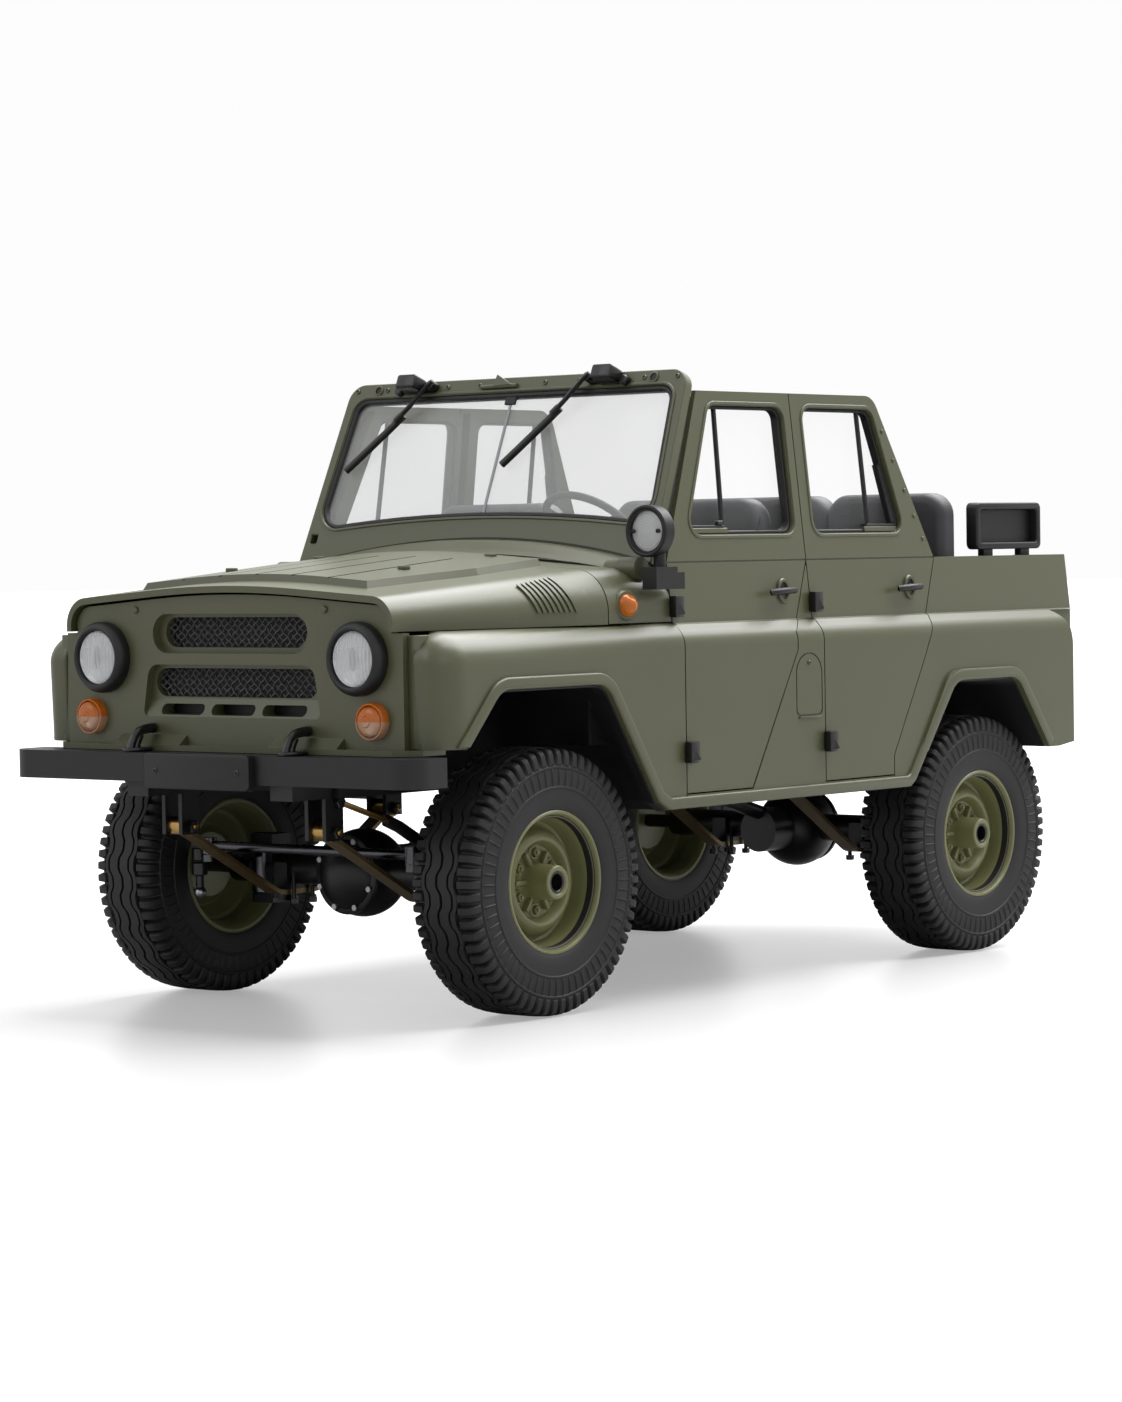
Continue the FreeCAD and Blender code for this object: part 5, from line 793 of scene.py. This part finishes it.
def signal_lamps():
    """Two-part lenses: orange above, clearer below, with a boss in the middle."""
    dome = [(0.3, 4.9), (1.9, 4.9), (2.9, 4.7), (3.6, 4.1), (4.0, 3.3), (4.1, 2.4), (4.2, 1.9),
            (4.7, 1.5), (4.8, 0), (4.4, 0), (4.3, 1.2), (3.7, 1.9), (3.6, 3.1), (3.2, 3.8),
            (2.6, 4.3), (1.8, 4.5), (0.3, 4.5)]
    dish = [(-0.3, 0), (0.2, 0), (0.4, 2.6), (1.2, 4.2), (1.0, 4.5), (-0.3, 4.5)]
    collar = [(-0.3, 5.9), (2.2, 5.9), (2.8, 5.6), (2.8, 5.1), (-0.3, 5.1)]
    pieces, dishes = [], []
    for name, at, axis in (("front_left", (61.5, PANEL_Y, 95.2), FRONT),
                           ("front_right", (-61.5, PANEL_Y, 95.2), FRONT),
                           ("tail_left", (70, 171.6, 100), -FRONT),
                           ("tail_right", (-70, 171.6, 100), -FRONT)):
        for part, shape in (("lens", dome), ("rim", collar)):
            lamp = facing(spun("signal_%s_%s" % (part, name), shape, "orange_acrylic", 48, 40),
                          axis, at)
            lamp.data.materials.append(MATERIALS["pale_orange_acrylic"])
            for face in lamp.data.polygons:
                face.material_index = 1 if face.center.z < at[2] * MM else 0
            pieces.append(lamp)
        dishes.append(facing(spun("signal_dish_" + name, dish, "metallised_reflector", 36, 50),
                             axis, at))
    blister = [(0.2, 3.7), (1.2, 3.6), (2.6, 2.8), (3.8, 1.7), (4.3, 0.7), (4.4, 0), (0.2, 0)]
    base = [(-1.2, 5.0), (0.4, 4.9), (0.9, 4.4), (0.8, 3.6), (-1.2, 3.6)]
    seats = []
    for side in (-1, 1):
        lean = Vector((side * 0.985, -0.17, 0.1))
        at = (side * 83.1, -89.5, 128.5)
        pieces.append(facing(spun("repeater_%d" % side, blister, "orange_acrylic", 36, 40), lean,
                             at))
        seats.append(facing(spun("repeater_base_%d" % side, base, "olive_enamel", 36, 40), lean,
                            at))
    settle(joined("signal_lenses", pieces), "body", "orange_lens", "turn_lamps")
    settle(joined("repeater_bases", seats), "body", "army_green")
    settle(joined("signal_dishes", dishes), "body", "steel")


def grille():
    """Woven wire behind each long slot, cut to the slot's round ends."""
    pieces = []
    for tag, half, low, top in (("upper", 31, 117.5, 127.1), ("lower", 35.5, 101.8, 110.9)):
        middle, radius = (low + top) / 2, (top - low) / 2 - 0.05
        straight = half - radius
        pitch, number = 3.0, 0
        place = -half - 2 * radius
        while place < half + 2 * radius:
            for lean in (-1, 1):
                run = []
                for step in range(-24, 25):
                    v = radius * step / 24
                    u = place + lean * v * 1.05
                    beyond = max(0, abs(u) - straight)
                    if math.hypot(beyond, v) <= radius:
                        weave = 0.28 * lean * math.cos(math.pi * (v * 2.1) / pitch + place)
                        run.append((u, -180.9 + weave, middle + v))
                if len(run) > 3:
                    pieces.append(pipe("wire_%s_%d_%d" % (tag, number, lean), run[::2] + run[-1:],
                                       0.3, "blackened_wire", 6))
            number += 1
            place += pitch
    settle(joined("grille_wires", pieces), "body", "black_mesh")
    settle(slab("grille_back", box_ring(-37.5, 37.5, 95, 128.6), -177.7, -177.2, "XZ",
                "seal_rubber", (), 0.1), "body", "black_plastic")


def front_fittings():
    bolts = [screw("fascia_bolt_%d" % side, (side * 41.5, PANEL_Y, 129.5), FRONT, 1.15, 0.9,
                   "olive_enamel", False) for side in (-1, 1)]
    settle(joined("fascia_bolts", bolts), "body", "army_green")
    screws = [screw("plate_screw_%d" % side, (side * 17.9, -201.5, 79.3), FRONT, 0.95, 0.35,
                    "black_nylon") for side in (-1, 1)]
    screws.append(slab("plate_face", box_ring(-23, 23, 73.6, 84.9, 1.8), -201.55, -200.9, "XZ",
                       "black_abs", (), 0.45, 3))
    settle(joined("plate_screws", screws), "body", "black_plastic")
    hooks = []
    for side in (-1, 1):
        x = side * 34
        route = [(x, -196.4, 84.6), (x, -196.0, 86.8), (x, -194.7, 89.2), (x, -192.6, 90.9),
                 (x, -190.4, 91.5), (x, -187.6, 91.8), (x, -186.3, 91.8)]
        hooks.append(pipe("hook_horn_%d" % side, route, 1.75, "black_nylon", 14, flat=0.8))
        hooks.append(pipe("hook_web_%d" % side, [(x, -194.4, 84.8), (x, -193.9, 87.2),
                                                 (x, -192.4, 89.9)], 1.5, "black_nylon", 12))
        ring = [(x + 4.0 * math.cos(a), -193.2 + 5.6 * math.sin(a))
                for a in [2 * math.pi * i / 28 for i in range(28)]]
        hooks.append(slab("hook_foot_%d" % side, ring, 84.62, 86.0, "XY", "black_nylon", (), 0.5,
                          2))
        hooks.append(screw("hook_tip_%d" % side, (x, -186.6, 91.8), (0, 1, 0), 1.7, 0.9,
                           "black_nylon", False))
    settle(joined("tow_hook_castings", hooks), "body", "black_plastic", "tow_hooks")


headlamps()
signal_lamps()
grille()
front_fittings()


# doors
HANDLE_Z = 131.6
# height of each hinge and the door's face there
DOOR_HINGES = ((127.7, 82.95), (80.5, 88.58))
VENT_Z = 153.9
# foot and head of each window's post, then the ends of the sill and of the step beside it
VENTS = {"front": (-31.2, -29.2, (-50.6, -31.2), (-49.1, -30.2)),
         "rear": (51.8, 51.9, (49.8, 68.4), (47.8, 66.9))}


def window_ring(end, grow):
    if end == "front":
        corners = [(-53, 151), (5.8, 151), (5.8, 193.6), (-34.8, 193.6)]
    else:
        corners = [(17, 151), (70, 151), (57.4, 193.6), (17, 193.6)]
    ring = []
    for index, corner in enumerate(corners):
        here = Vector(corner)
        before = (Vector(corners[index - 1]) - here).normalized()
        after = (Vector(corners[(index + 1) % 4]) - here).normalized()
        half = before.angle(after) / 2
        ring.append((*(here - (before + after).normalized() * grow / math.sin(half)), 4.5 + grow))
    return rounded(ring, 6)


def door_trim(end, seam, handle_y):
    """Seals, window bars, hinges and handle of one left door; the right one is its mirror."""
    black, green = [], []
    black.append(slab("seal", window_ring(end, -0.02), -4.6, -1.3, "DOOR", "seal_rubber",
                      [window_ring(end, -1.1)], 0.3))
    green.append(slab("bead", window_ring(end, 1.5), -0.15, 0.35, "DOOR", "olive_enamel",
                      [window_ring(end, 0.3)], 0.2))
    foot, head, sill, step = VENTS[end]
    black.append(pipe("vent_post", [on_door(-2.4, foot, 152.4), on_door(-2.4, head, 192.8)], 0.85,
                      "seal_rubber", 8))
    black.append(slab("vent_sill", box_ring(*sill, VENT_Z - 0.9, VENT_Z), -4.2, -1.2, "DOOR",
                      "seal_rubber", (), 0.2))
    green.append(slab("vent_step", box_ring(*step, 151.2, VENT_Z - 0.9), -4.0, -0.9, "DOOR",
                      "olive_enamel", (), 0.2))
    if end == "front":
        black.append(slab("latch", box_ring(foot - 4, foot - 1, 154, 155.4, 0.4), -2.4, -0.8,
                          "DOOR", "black_nylon", (), 0.2))
        black.append(pipe("pull", [on_door(-1.6, -13, 152), on_door(-1.4, -11.6, 154.5),
                                   on_door(-1.6, -10.6, 156.4)], 0.3, "black_nylon", 6))
    else:
        wedge = [(65.4, 154), (68.6, 154), (62.4, 174.4), (60.4, 174.4)]
        black.append(slab("vent_wedge", wedge, -4.2, -1.5, "DOOR", "seal_rubber", (), 0.3))
        for z in (148.5, 156.5, 165.5, 176, 186):
            y = 86.4 - (z - 142) * (86.4 - 59.5) / (198.4 - 142) - 2.3
            green.append(screw("edge_bolt", on_door(0, y, z), (1, 0, 0.1), 0.75, 0.5,
                               "olive_enamel", False))
    for z, face in DOOR_HINGES:
        start = seam - 1.5
        black.append(block("hinge", (face, start, z - 3.5), (face + 3.1, start + 4.6, z + 3.5),
                           "black_nylon", 0.5))
        out = face + 3.08
        facet = [(out, start + 0.8, z - 2.7), (out, start + 3.9, z - 2.7),
                 (out, start + 2.1, z + 0.9), (out + 1.3, start + 3.3, z - 2.3)]
        black.append(shaped("hinge_facet", facet, [(0, 1, 3), (1, 2, 3), (2, 0, 3), (0, 2, 1)],
                            "black_nylon", 10))
    face = BELT_X - DOOR_LEAN * (HANDLE_Z - BELT_Z)
    at = (face, handle_y, HANDLE_Z)
    oval = Matrix.Diagonal((1, 0.82, 1.12))
    rose = [(-0.3, 3.9), (0.6, 3.8), (1.0, 3.4), (0.9, 2.7), (0.3, 2.4), (-0.3, 2.4)]
    plate = facing(spun("rose", rose, "olive_enamel", 36), (1, 0, 0.115), (0, 0, 0))
    green.append(placed(plate, oval, at))
    eye = [(-0.3, 2.45), (0.15, 2.45), (0.15, 0), (-0.3, 0)]
    black.append(placed(spun("rose_eye", eye, "black_abs", 24), oval, at))
    stem = [(0, 1.3), (3.0, 1.2), (3.4, 0), (0, 0)]
    black.append(placed(spun("stem", stem, "black_abs", 20), at=at))
    x = face + 3.0
    middle = handle_y - 3.2
    black.append(pipe("bar", [(x - 0.4, middle - 6.5, 131.2), (x - 0.1, middle - 6.2, 131.3),
                              (x + 0.2, middle, 131.7), (x - 0.1, middle + 6.2, 131.8),
                              (x - 0.4, middle + 6.5, 131.8)], 1.25, "black_abs", 14, flat=0.9))
    return black, green


def door_pieces():
    for end, seam, handle_y in (("front", -65.8, -4.8), ("rear", 10.6, 69.3)):
        black, green = door_trim(end, seam, handle_y)
        for pieces, slot, kind in ((black, "black_plastic", "fittings"), (green, "army_green",
                                                                          "beads")):
            left = joined("door_%s_left_%s_trim" % (end, kind), pieces)
            right = copied(left, "door_%s_right_%s_trim" % (end, kind), MIRROR)
            for thing, side in ((left, "left"), (right, "right")):
                name = "door_%s_%s" % (end, side)
                settle(thing, name, slot, *([name + "_fittings"] if kind == "fittings" else []))


door_pieces()


# seats
def seats():
    pads, bases = [], []
    for side in (-1, 1):
        low, high = sorted((side * 16, side * 73.2))
        back = rounded([(low, 98, 3), (high, 98, 3), (high, 163.2, 9), (low, 163.2, 9)], 8)
        pads.append(slab("seat_back_%d" % side, back, -6, 4, "XZ", "seat_abs", (), 3.6, 5))
        cushion = rounded([(low, -45, 5), (high, -45, 5), (high, -3, 3), (low, -3, 3)])
        pads.append(slab("seat_cushion_%d" % side, cushion, 97, 112, "XY", "seat_abs", (), 3.2, 4))
        base = box_ring(low + 5, high - 5, -41, 0, 2)
        bases.append(slab("seat_base_%d" % side, base, 81.6, 98, "XY", "black_abs", (), 0.5))
    settle(joined("front_seat_pads", pads), "body", "seat_grey", "front_seats")
    settle(joined("front_seat_bases", bases), "body", "black_plastic")
    pads = []
    for index, (low, high) in enumerate(((-75.4, -24.6), (-24.2, 24.2), (24.6, 75.4))):
        back = rounded([(low, 104, 3), (high, 104, 3), (high, 164.8, 8), (low, 164.8, 8)], 8)
        pads.append(slab("bench_back_%d" % index, back, 99.5, 110.5, "XZ", "seat_abs", (), 3.6, 5))
    cushion = rounded([(-75.4, 62, 5), (75.4, 62, 5), (75.4, 100, 2), (-75.4, 100, 2)])
    pads.append(slab("bench_cushion", cushion, 103.5, 116, "XY", "seat_abs", (), 3.2, 4))
    stand = slab("bench_stand", box_ring(-70, 70, 68, 100, 2), 81.6, 104.5, "XY", "black_abs", (),
                 0.5)
    settle(joined("rear_bench_pads", pads), "body", "seat_grey", "rear_bench")
    settle(stand, "body", "black_plastic")
    trays = []
    for side in (-1, 1):
        ring = rounded([(117.5, 144.3, 2.2), (159.5, 144.3, 2.2), (159.5, 161.2, 2.2),
                        (117.5, 161.2, 2.2)], 5)
        inner = rounded([(120, 146.8, 1.2), (157, 146.8, 1.2), (157, 158.7, 1.2),
                         (120, 158.7, 1.2)], 5)
        a, b = sorted((side * 74, side * 79))
        trays.append(slab("side_tray_rim_%d" % side, ring, a, b, "YZ", "black_abs", [inner], 0.7,
                          3))
        c, d = sorted((side * 74.4, side * 75.6))
        trays.append(slab("side_tray_%d" % side, inner, c, d, "YZ", "black_abs", (), 0.1))
        for y in (126.5, 150.5):
            trays.append(block("side_tray_foot_%d_%d" % (side, y),
                               (side * 76.4 - 1.4, y - 3, 141.9), (side * 76.4 + 1.4, y + 3, 146),
                               "black_abs", 0.4))
    settle(joined("side_seat_trays", trays), "body", "black_plastic", "side_seat_backs")


seats()


# arches, sills and small trim of the body
FRONT_ARCH = [(-158, 104, 9), (-107, 104, 9), (-81.7, 65.4, 4)]
REAR_ARCH = [(88, 98.4, 9), (127, 98.4, 9)]


def path_beside(path, reach):
    """The same open path moved to its left."""
    moved = []
    for index, point in enumerate(path):
        ways = []
        if index:
            ways.append(point - path[index - 1])
        if index + 1 < len(path):
            ways.append(path[index + 1] - point)
        sides = [Vector((-d.y, d.x)).normalized() for d in ways]
        normal = sum(sides, Vector((0, 0))).normalized()
        moved.append(point + normal * reach / max(0.5, normal.dot(sides[0])))
    return moved


def open_path(corners, steps=6):
    """An open path whose inner corners are rounded; its ends stay as they are."""
    return rounded(corners, steps)


def arch_trim():
    """The raised band round both arches and along the sill, and the black liners behind it."""
    edge = open_path([(-173.4, 87.1), *FRONT_ARCH, (-76.2, 62.4, 6), (60.5, 62.4, 7), *REAR_ARCH,
                      (147.4, 72.4)])
    band = edge + path_beside(edge, 3.9)[::-1] + [Vector((-178.2, 87.1))]
    strips = [slab("arch_band", band, 87.6, 89.75, "YZ", "olive_enamel", (), 0.75, 3)]
    strips.append(copied(strips[0], "arch_band_right", MIRROR))
    flap = screw("flap_lock", (88.5, 1.4, 107.4), (1, 0, 0), 0.8, 0.5, "olive_enamel")
    lip = block("flap_lip", (88.4, -4.6, 88.7), (89.1, 7.6, 89.5), "olive_enamel", 0.25)
    strips += [flap, lip]
    settle(joined("arch_bands", strips), "body", "army_green")
    liners = []
    front = [(-173.8, 86.8), *FRONT_ARCH, (-76.4, 62.6)]
    # further back on the inside, where the steered wheel swings
    roomy = [(-173.8, 86.8), (-158, 104, 9), (-101.6, 104, 9), (-76.0, 65.4, 4), (-73.6, 62.6)]
    rear = [(60.7, 62.6), *REAR_ARCH, (147.2, 72.6)]
    for name, corners, start, end in (("edge", front, 84, 87.5), ("front", roomy, 39, 84.2),
                                      ("rear", rear, 50.6, 87.5)):
        line = open_path(corners)
        skin = path_beside(line, -0.15) + path_beside(line, -0.7)[::-1]
        liners.append(slab("liner_" + name, skin, start, end, "YZ", "black_abs", (), 0.05))
        if name == "rear":
            wall = path_beside(line, -0.5)
            liners.append(slab("liner_wall_" + name, wall, 50.1, 50.9, "YZ", "black_abs", (),
                               0.05))
    # the cowl's cheek that stands before the front liner
    liners.append(slab("liner_cheek", [(-98.7, 84.2), (-88.6, 84.2), (-98.7, 99.4)], 74.75, 75.05,
                       "YZ", "black_abs", (), 0.05))
    liners += [copied(thing, thing.name + "_right", MIRROR) for thing in list(liners)]
    # wide above the steered tyre, narrow between the wheels
    for half, low, top in ((74.6, 84.0, 121), (50, 79.2, 84.2)):
        liners.append(slab("bay_wall", box_ring(-half, half, low, top), -98.8, -98.35, "XZ",
                           "black_abs", (), 0.05))
    settle(joined("arch_liners", liners), "body", "black_plastic", "rear_wheel_wells")


def spaced(points, count):
    """The same open line with its points evenly spread."""
    points = [Vector(p) for p in points]
    reach = [0]
    for a, b in zip(points, points[1:]):
        reach.append(reach[-1] + (b - a).length)
    line = []
    for index in range(count):
        goal = reach[-1] * index / (count - 1)
        part = max(i for i in range(len(points) - 1) if reach[i] <= goal + 1e-9)
        share = (goal - reach[part]) / (reach[part + 1] - reach[part])
        line.append(points[part].lerp(points[part + 1], min(1, share)))
    return line


def shoulder(y):
    """The fender's outer line over its shoulder: round at the nose, as the doors' at the rear."""
    share = min(1, max(0, (y + 150) / 75))
    front = spaced(open_path([(88.5, 108), (88.5, 122.3, 10.5), (76.3, 122.3)], 12), 26)
    rear = spaced(open_path([(88.5, 108), (88.5, 117.5, 7), (84.6, 122.3, 1), (76.3, 122.3)], 8),
                  26)
    return [a.lerp(b, share) for a, b in zip(front, rear)]


def fender_pressing():
    """The front fender: a pillowed nose, a round shoulder and the side with its arch."""
    side = open_path([(-173.7, 87.0), (-173.4, 87.0), *FRONT_ARCH, (-76.2, 62.4), (-66.3, 62.4),
                      (-66.3, 108), (-173.7, 108)])
    plate = slab("fender_side", side, 86, 88.5, "YZ", "olive_enamel", (), 0.02)
    rows = []
    under = [(73.6, 122.3), (73.6, 119.8), (83.0, 119.8), (86, 115), (86, 108)]
    for step in range(15):
        y = -173.7 + (173.7 - 66.3) * step / 14
        line = shoulder(y)
        rows.append([(p.x, y, p.y) for p in line] + [(x, y, z) for x, z in under])
    crown = lofted("fender_crown", rows, "olive_enamel", 40)
    upper = spaced(open_path([(88.5, 104), (88.5, 122.3, 10.5), (73.7, 122.3, 4), (74.6, 104)], 12),
                   52)
    ring = (spaced([(88.5, 86.7), (88.5, 104)], 8)[:-1] + upper
            + spaced([(74.6, 104), (75.6, 86.7)], 8)[1:])
    levels = []
    for step in range(17):
        angle = math.pi / 2 * step / 16
        row = []
        for p in ring:
            core = Vector((min(max(p.x, 77.0), 80.6), min(p.y, 112.5)))
            place = core.lerp(p, max(0.02, math.sin(angle)))
            front = -184.9 + 0.045 * (122 - place.y)
            row.append((place.x, front + (-173.7 - front) * (1 - math.cos(angle)), place.y))
        levels.append(row)
    nose = lofted("fender_nose", levels, "olive_enamel", 45)
    wrap = block("fender_wrap", (73.52, -183.4, 86.8), (78.6, -173, 121.4), "olive_enamel", 0.3)
    left = joined("fender_left_pressing", [plate, crown, nose, wrap])
    right = copied(left, "fender_right_pressing", MIRROR)
    settle(left, "body", "army_green", "front_fender_left")
    settle(right, "body", "army_green", "front_fender_right")


def bonnet_pads():
    pads = []
    for x, y, z in ((38, -145, 140.9), (38, -103, 144.2)):
        for side in (-1, 1):
            pads.append(block("bonnet_pad_%d_%d" % (side * x, y), (side * x - 1.9, y - 1.1, z),
                              (side * x + 1.9, y + 1.1, z + 1.5), "olive_enamel", 0.35))
    settle(joined("bonnet_pads", pads), "bonnet", "army_green")


def steering():
    axis = Vector((0, 0.643, 0.766))
    centre = Vector((29.6, -41.5, 154.4))
    turn = Vector((1, 0, 0)).rotation_difference(axis).to_matrix()
    rim = pipe("rim", [centre + turn @ Vector((0, 16.3 * math.cos(a), 16.3 * math.sin(a)))
                       for a in [2 * math.pi * i / 64 for i in range(64)]], 1.35, "black_abs", 12,
               True)
    hub = facing(spun("hub", [(-2.5, 2.6), (0.6, 3.2), (1.2, 2.6), (1.4, 0), (-2.5, 0)],
                      "black_abs", 32), axis, centre - axis * 2)
    column = pipe("column", [centre - axis * 3, centre - axis * 29], 1.7, "black_abs", 14)
    pieces = [rim, hub, column]
    for angle in (90, 210, 330):
        way = turn @ Vector((0, math.cos(math.radians(angle)), math.sin(math.radians(angle))))
        pieces.append(pipe("spoke_%d" % angle, [centre - axis * 1.6 + way * 2,
                                                centre - axis * 1.2 + way * 9,
                                                centre + way * 15.8], 1.1, "black_abs", 10,
                           flat=0.6))
    settle(joined("steering_rim", pieces), "body", "black_plastic", "steering_wheel")


arch_trim()
fender_pressing()
bonnet_pads()
steering()


# running gear
def bolt(name, at, axis, radius, height, material):
    head = [(-0.5, radius), (height * 0.8, radius), (height, radius * 0.8), (height, 0), (-0.5, 0)]
    return facing(spun(name, head, material, 6, 20), axis, at)


def running_gear():
    """Spring eyes on brass bushings, U-bolts, dampers, diff cover bolts and ball studs."""
    brass, black, steel = [], [], []
    for side in (-1, 1):
        x = side * 31.5
        tag = "left" if side > 0 else "right"
        for y, end in ((-177, "front"), (-80, "heel"), (66, "toe"), (161, "rear")):
            brass.append(facing(spun("bush_%s_%s" % (tag, end), [(-4.0, 3.0), (4.0, 3.0), (4.0, 0),
                                                                  (-4.0, 0)], "brass", 20),
                                (1, 0, 0), (x, y, 59.9)))
            for way in (-1, 1):
                black.append(bolt("eye_bolt_%s_%s_%d" % (tag, end, way), (x + way * 5.2, y, 59.9),
                                  (way, 0, 0), 2.1, 1.3, "black_nylon"))
                brass.append(screw("eye_tip_%s_%s_%d" % (tag, end, way),
                                   (x + way * 6.4, y, 59.9), (way, 0, 0), 1.0, 0.7, "brass"))
        for axle in (FRONT_AXLE_Y, REAR_AXLE_Y):
            for dy in (-4.4, 4.4):
                black.append(pipe("clip_%s_%d_%d" % (tag, axle, dy), [
                    (x - 4.2, axle + dy, 31.6), (x - 4.2, axle + dy, 41.2),
                    (x - 3.2, axle + dy, 42.6), (x + 3.2, axle + dy, 42.6),
                    (x + 4.2, axle + dy, 41.2), (x + 4.2, axle + dy, 31.6)], 0.75,
                    "black_powder_coat", 10))
                for dx in (-4.2, 4.2):
                    black.append(bolt("clip_nut_%s_%d_%d_%d" % (tag, axle, dy, dx),
                                      (x + dx, axle + dy, 32.4), (0, 0, -1), 1.5, 1.3,
                                      "black_nylon"))
    route = [Vector(p) for p in ((36.6, -175.4, 69.4), (40.2, -158.0, 62.7), (41.6, -153.5, 60.4),
                                 (44.0, -140.9, 52.3))]
    brass.append(pipe("damper_rod", route[:2], 0.95, "brass", 14))
    black.append(pipe("damper_can", [route[1], route[2], route[3]], 2.0, "black_nylon", 18))
    black.append(bolt("damper_eye", route[0], (1, 0, 0), 2.1, 1.2, "black_nylon"))
    for side in (-1, 1):
        tag = "left" if side > 0 else "right"
        cups = []
        for z, radius in ((48.4, 2.5), (43.6, 2.7), (39.4, 1.3)):
            cups.append(facing(spun("ball_cup_%s_%d" % (tag, z), [
                (-2.1, radius - 0.3), (-1.8, radius), (1.8, radius), (2.1, radius - 0.3), (2.1, 0),
                (-2.1, 0)], "black_nylon", 24), (0, 0, 1), (side * 49, -151.5, z)))
        cups.append(facing(spun("ball_stud_" + tag, [
            (-2.0, 0), (-1.7, 1.1), (-0.9, 1.9), (0, 2.1), (0.9, 1.9), (1.7, 1.1), (2.0, 0)],
            "turned_steel", 20, 60), (0, 0, 1), (side * 49, -151.5, 35.8)))
        settle(joined("ball_joint_" + tag, cups), "knuckle_" + tag, "steel")
    for y, face in ((FRONT_AXLE_Y, -1), (REAR_AXLE_Y, 1)):
        for index in range(8):
            angle = 2 * math.pi * (index + 0.5) / 8
            steel.append(bolt("cover_bolt_%d_%d" % (y, index), (
                11.6 * math.cos(angle), y + face * 8.3, AXLE_Z + 11.6 * math.sin(angle)),
                (0, face, 0), 1.25, 1.6, "turned_steel"))
        ring = [(7.4, 13.2), (8.6, 13.2), (8.9, 12.8), (8.9, 9.6), (10.6, 8.2), (11.4, 6.0),
                (11.6, 0), (7.4, 0)]
        black.append(facing(spun("cover_%d" % y, ring, "black_powder_coat", 48, 40),
                            (0, face, 0), (0, y, AXLE_Z)))
    settle(joined("spring_bushes", brass), "body", "steel")
    settle(joined("gear_fittings", black), "body", "frame_black")
    settle(joined("gear_bolts", steel), "body", "steel")


running_gear()


# plain finishes on the CAD pieces that show
FINISHES = {
    "olive_enamel": ["body_side_left", "body_side_right", "front_panel", "bonnet", "cowl",
                     "tailgate", "door_front_left", "door_front_right", "door_rear_left",
                     "door_rear_right"],
    "black_abs": ["front_bumper", "search_lamp", "dashboard", "front_wheel_wells", "floor_pan"],
    "seal_rubber": ["grille_mesh"],
    "bronzed_steel": ["leaf_springs"],
    "black_powder_coat": ["chassis_frame", "front_axle", "rear_axle", "driveshafts"],
    "blued_steel": ["tie_rod", "knuckle_left", "knuckle_right"],
    "machined_aluminium": ["motor_and_gearbox"],
    "clear_polycarbonate": ["window_front_left", "window_front_right",
                            "window_rear_left", "window_rear_right"],
}


def dress_cad():
    for finish, names in FINISHES.items():
        for name in names:
            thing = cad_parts[name]
            for slot in thing.material_slots:
                slot.material = MATERIALS[finish]


dress_cad()


# studio
def studio():
    """A white sweep with a soft shadow, deepened near the car by painted shade in the floor's glow,
    a big soft light above and a weaker one to each side.
    """
    world = bpy.data.worlds.new("studio")
    world.use_nodes = True
    tree = world.node_tree
    background = tree.nodes["Background"]
    background.inputs["Color"].default_value = linear("#ffffff")
    path = node(tree, "ShaderNodeLightPath")
    seen = node(tree, "ShaderNodeMath", {0: path.outputs["Is Camera Ray"],
                                         1: path.outputs["Is Transmission Ray"]}, operation="ADD")
    seen = node(tree, "ShaderNodeMath", {0: seen.outputs[0], 1: path.outputs["Is Glossy Ray"]},
                operation="ADD")
    level = node(tree, "ShaderNodeMapRange", {"Value": seen.outputs[0]}, to_min=0.27, to_max=0.98)
    tree.links.new(level.outputs["Result"], background.inputs["Strength"])
    bpy.context.scene.world = world
    scene = bpy.context.scene
    scene.view_settings.view_transform = "Standard"
    floor_mesh = bpy.data.meshes.new("floor")
    reach = 12
    floor_mesh.from_pydata([(-reach, -reach, 0), (reach, -reach, 0), (reach, reach, 0),
                            (-reach, reach, 0)], [], [(0, 1, 2, 3)])
    floor = bpy.data.objects.new("floor", floor_mesh)
    bpy.context.collection.objects.link(floor)
    paper = bpy.data.materials.new("white_paper")
    paper.use_nodes = True
    tree = paper.node_tree
    principled = tree.nodes["Principled BSDF"]
    principled.inputs["Base Color"].default_value = linear("#c4c4c4")
    principled.inputs["Roughness"].default_value = 0.32
    principled.inputs["Emission Color"].default_value = linear("#ffffff")
    path = node(tree, "ShaderNodeLightPath")
    where = node(tree, "ShaderNodeTexCoord").outputs["Object"]
    away = node(tree, "ShaderNodeVectorMath", {0: where}, operation="LENGTH")
    # the floor's glow for the camera is weaker near the car: painted shade that deepens the soft
    # shadow round it
    glow_dimmed_as_painted_shade = node(tree, "ShaderNodeMapRange", {"Value": away.outputs["Value"]}, from_min=0.25,
                 from_max=1.6, to_min=0.34, to_max=0.92)
    glow = node(tree, "ShaderNodeMath", {0: glow_dimmed_as_painted_shade.outputs[0], 1: path.outputs["Is Camera Ray"]},
                operation="MULTIPLY")
    tree.links.new(glow.outputs[0], principled.inputs["Emission Strength"])
    floor.data.materials.append(paper)
    # place in metres, side in metres, watts
    for name, at, size, power in (("top_light", (0.1, 0.75, 1.45), 1.7, 62),
                                  ("left_light", (1.8, -0.9, 0.9), 1.2, 2.6),
                                  ("front_light", (-0.8, -1.6, 1.3), 1.2, 7)):
        light = bpy.data.lights.new(name, "AREA")
        light.shape = "SQUARE"
        light.size = size
        light.energy = power
        lamp = bpy.data.objects.new(name, light)
        lamp.location = at
        aim = Vector(at) - Vector((0, 0, 0.08))
        lamp.rotation_euler = aim.to_track_quat("Z", "Y").to_euler()
        bpy.context.collection.objects.link(lamp)


studio()
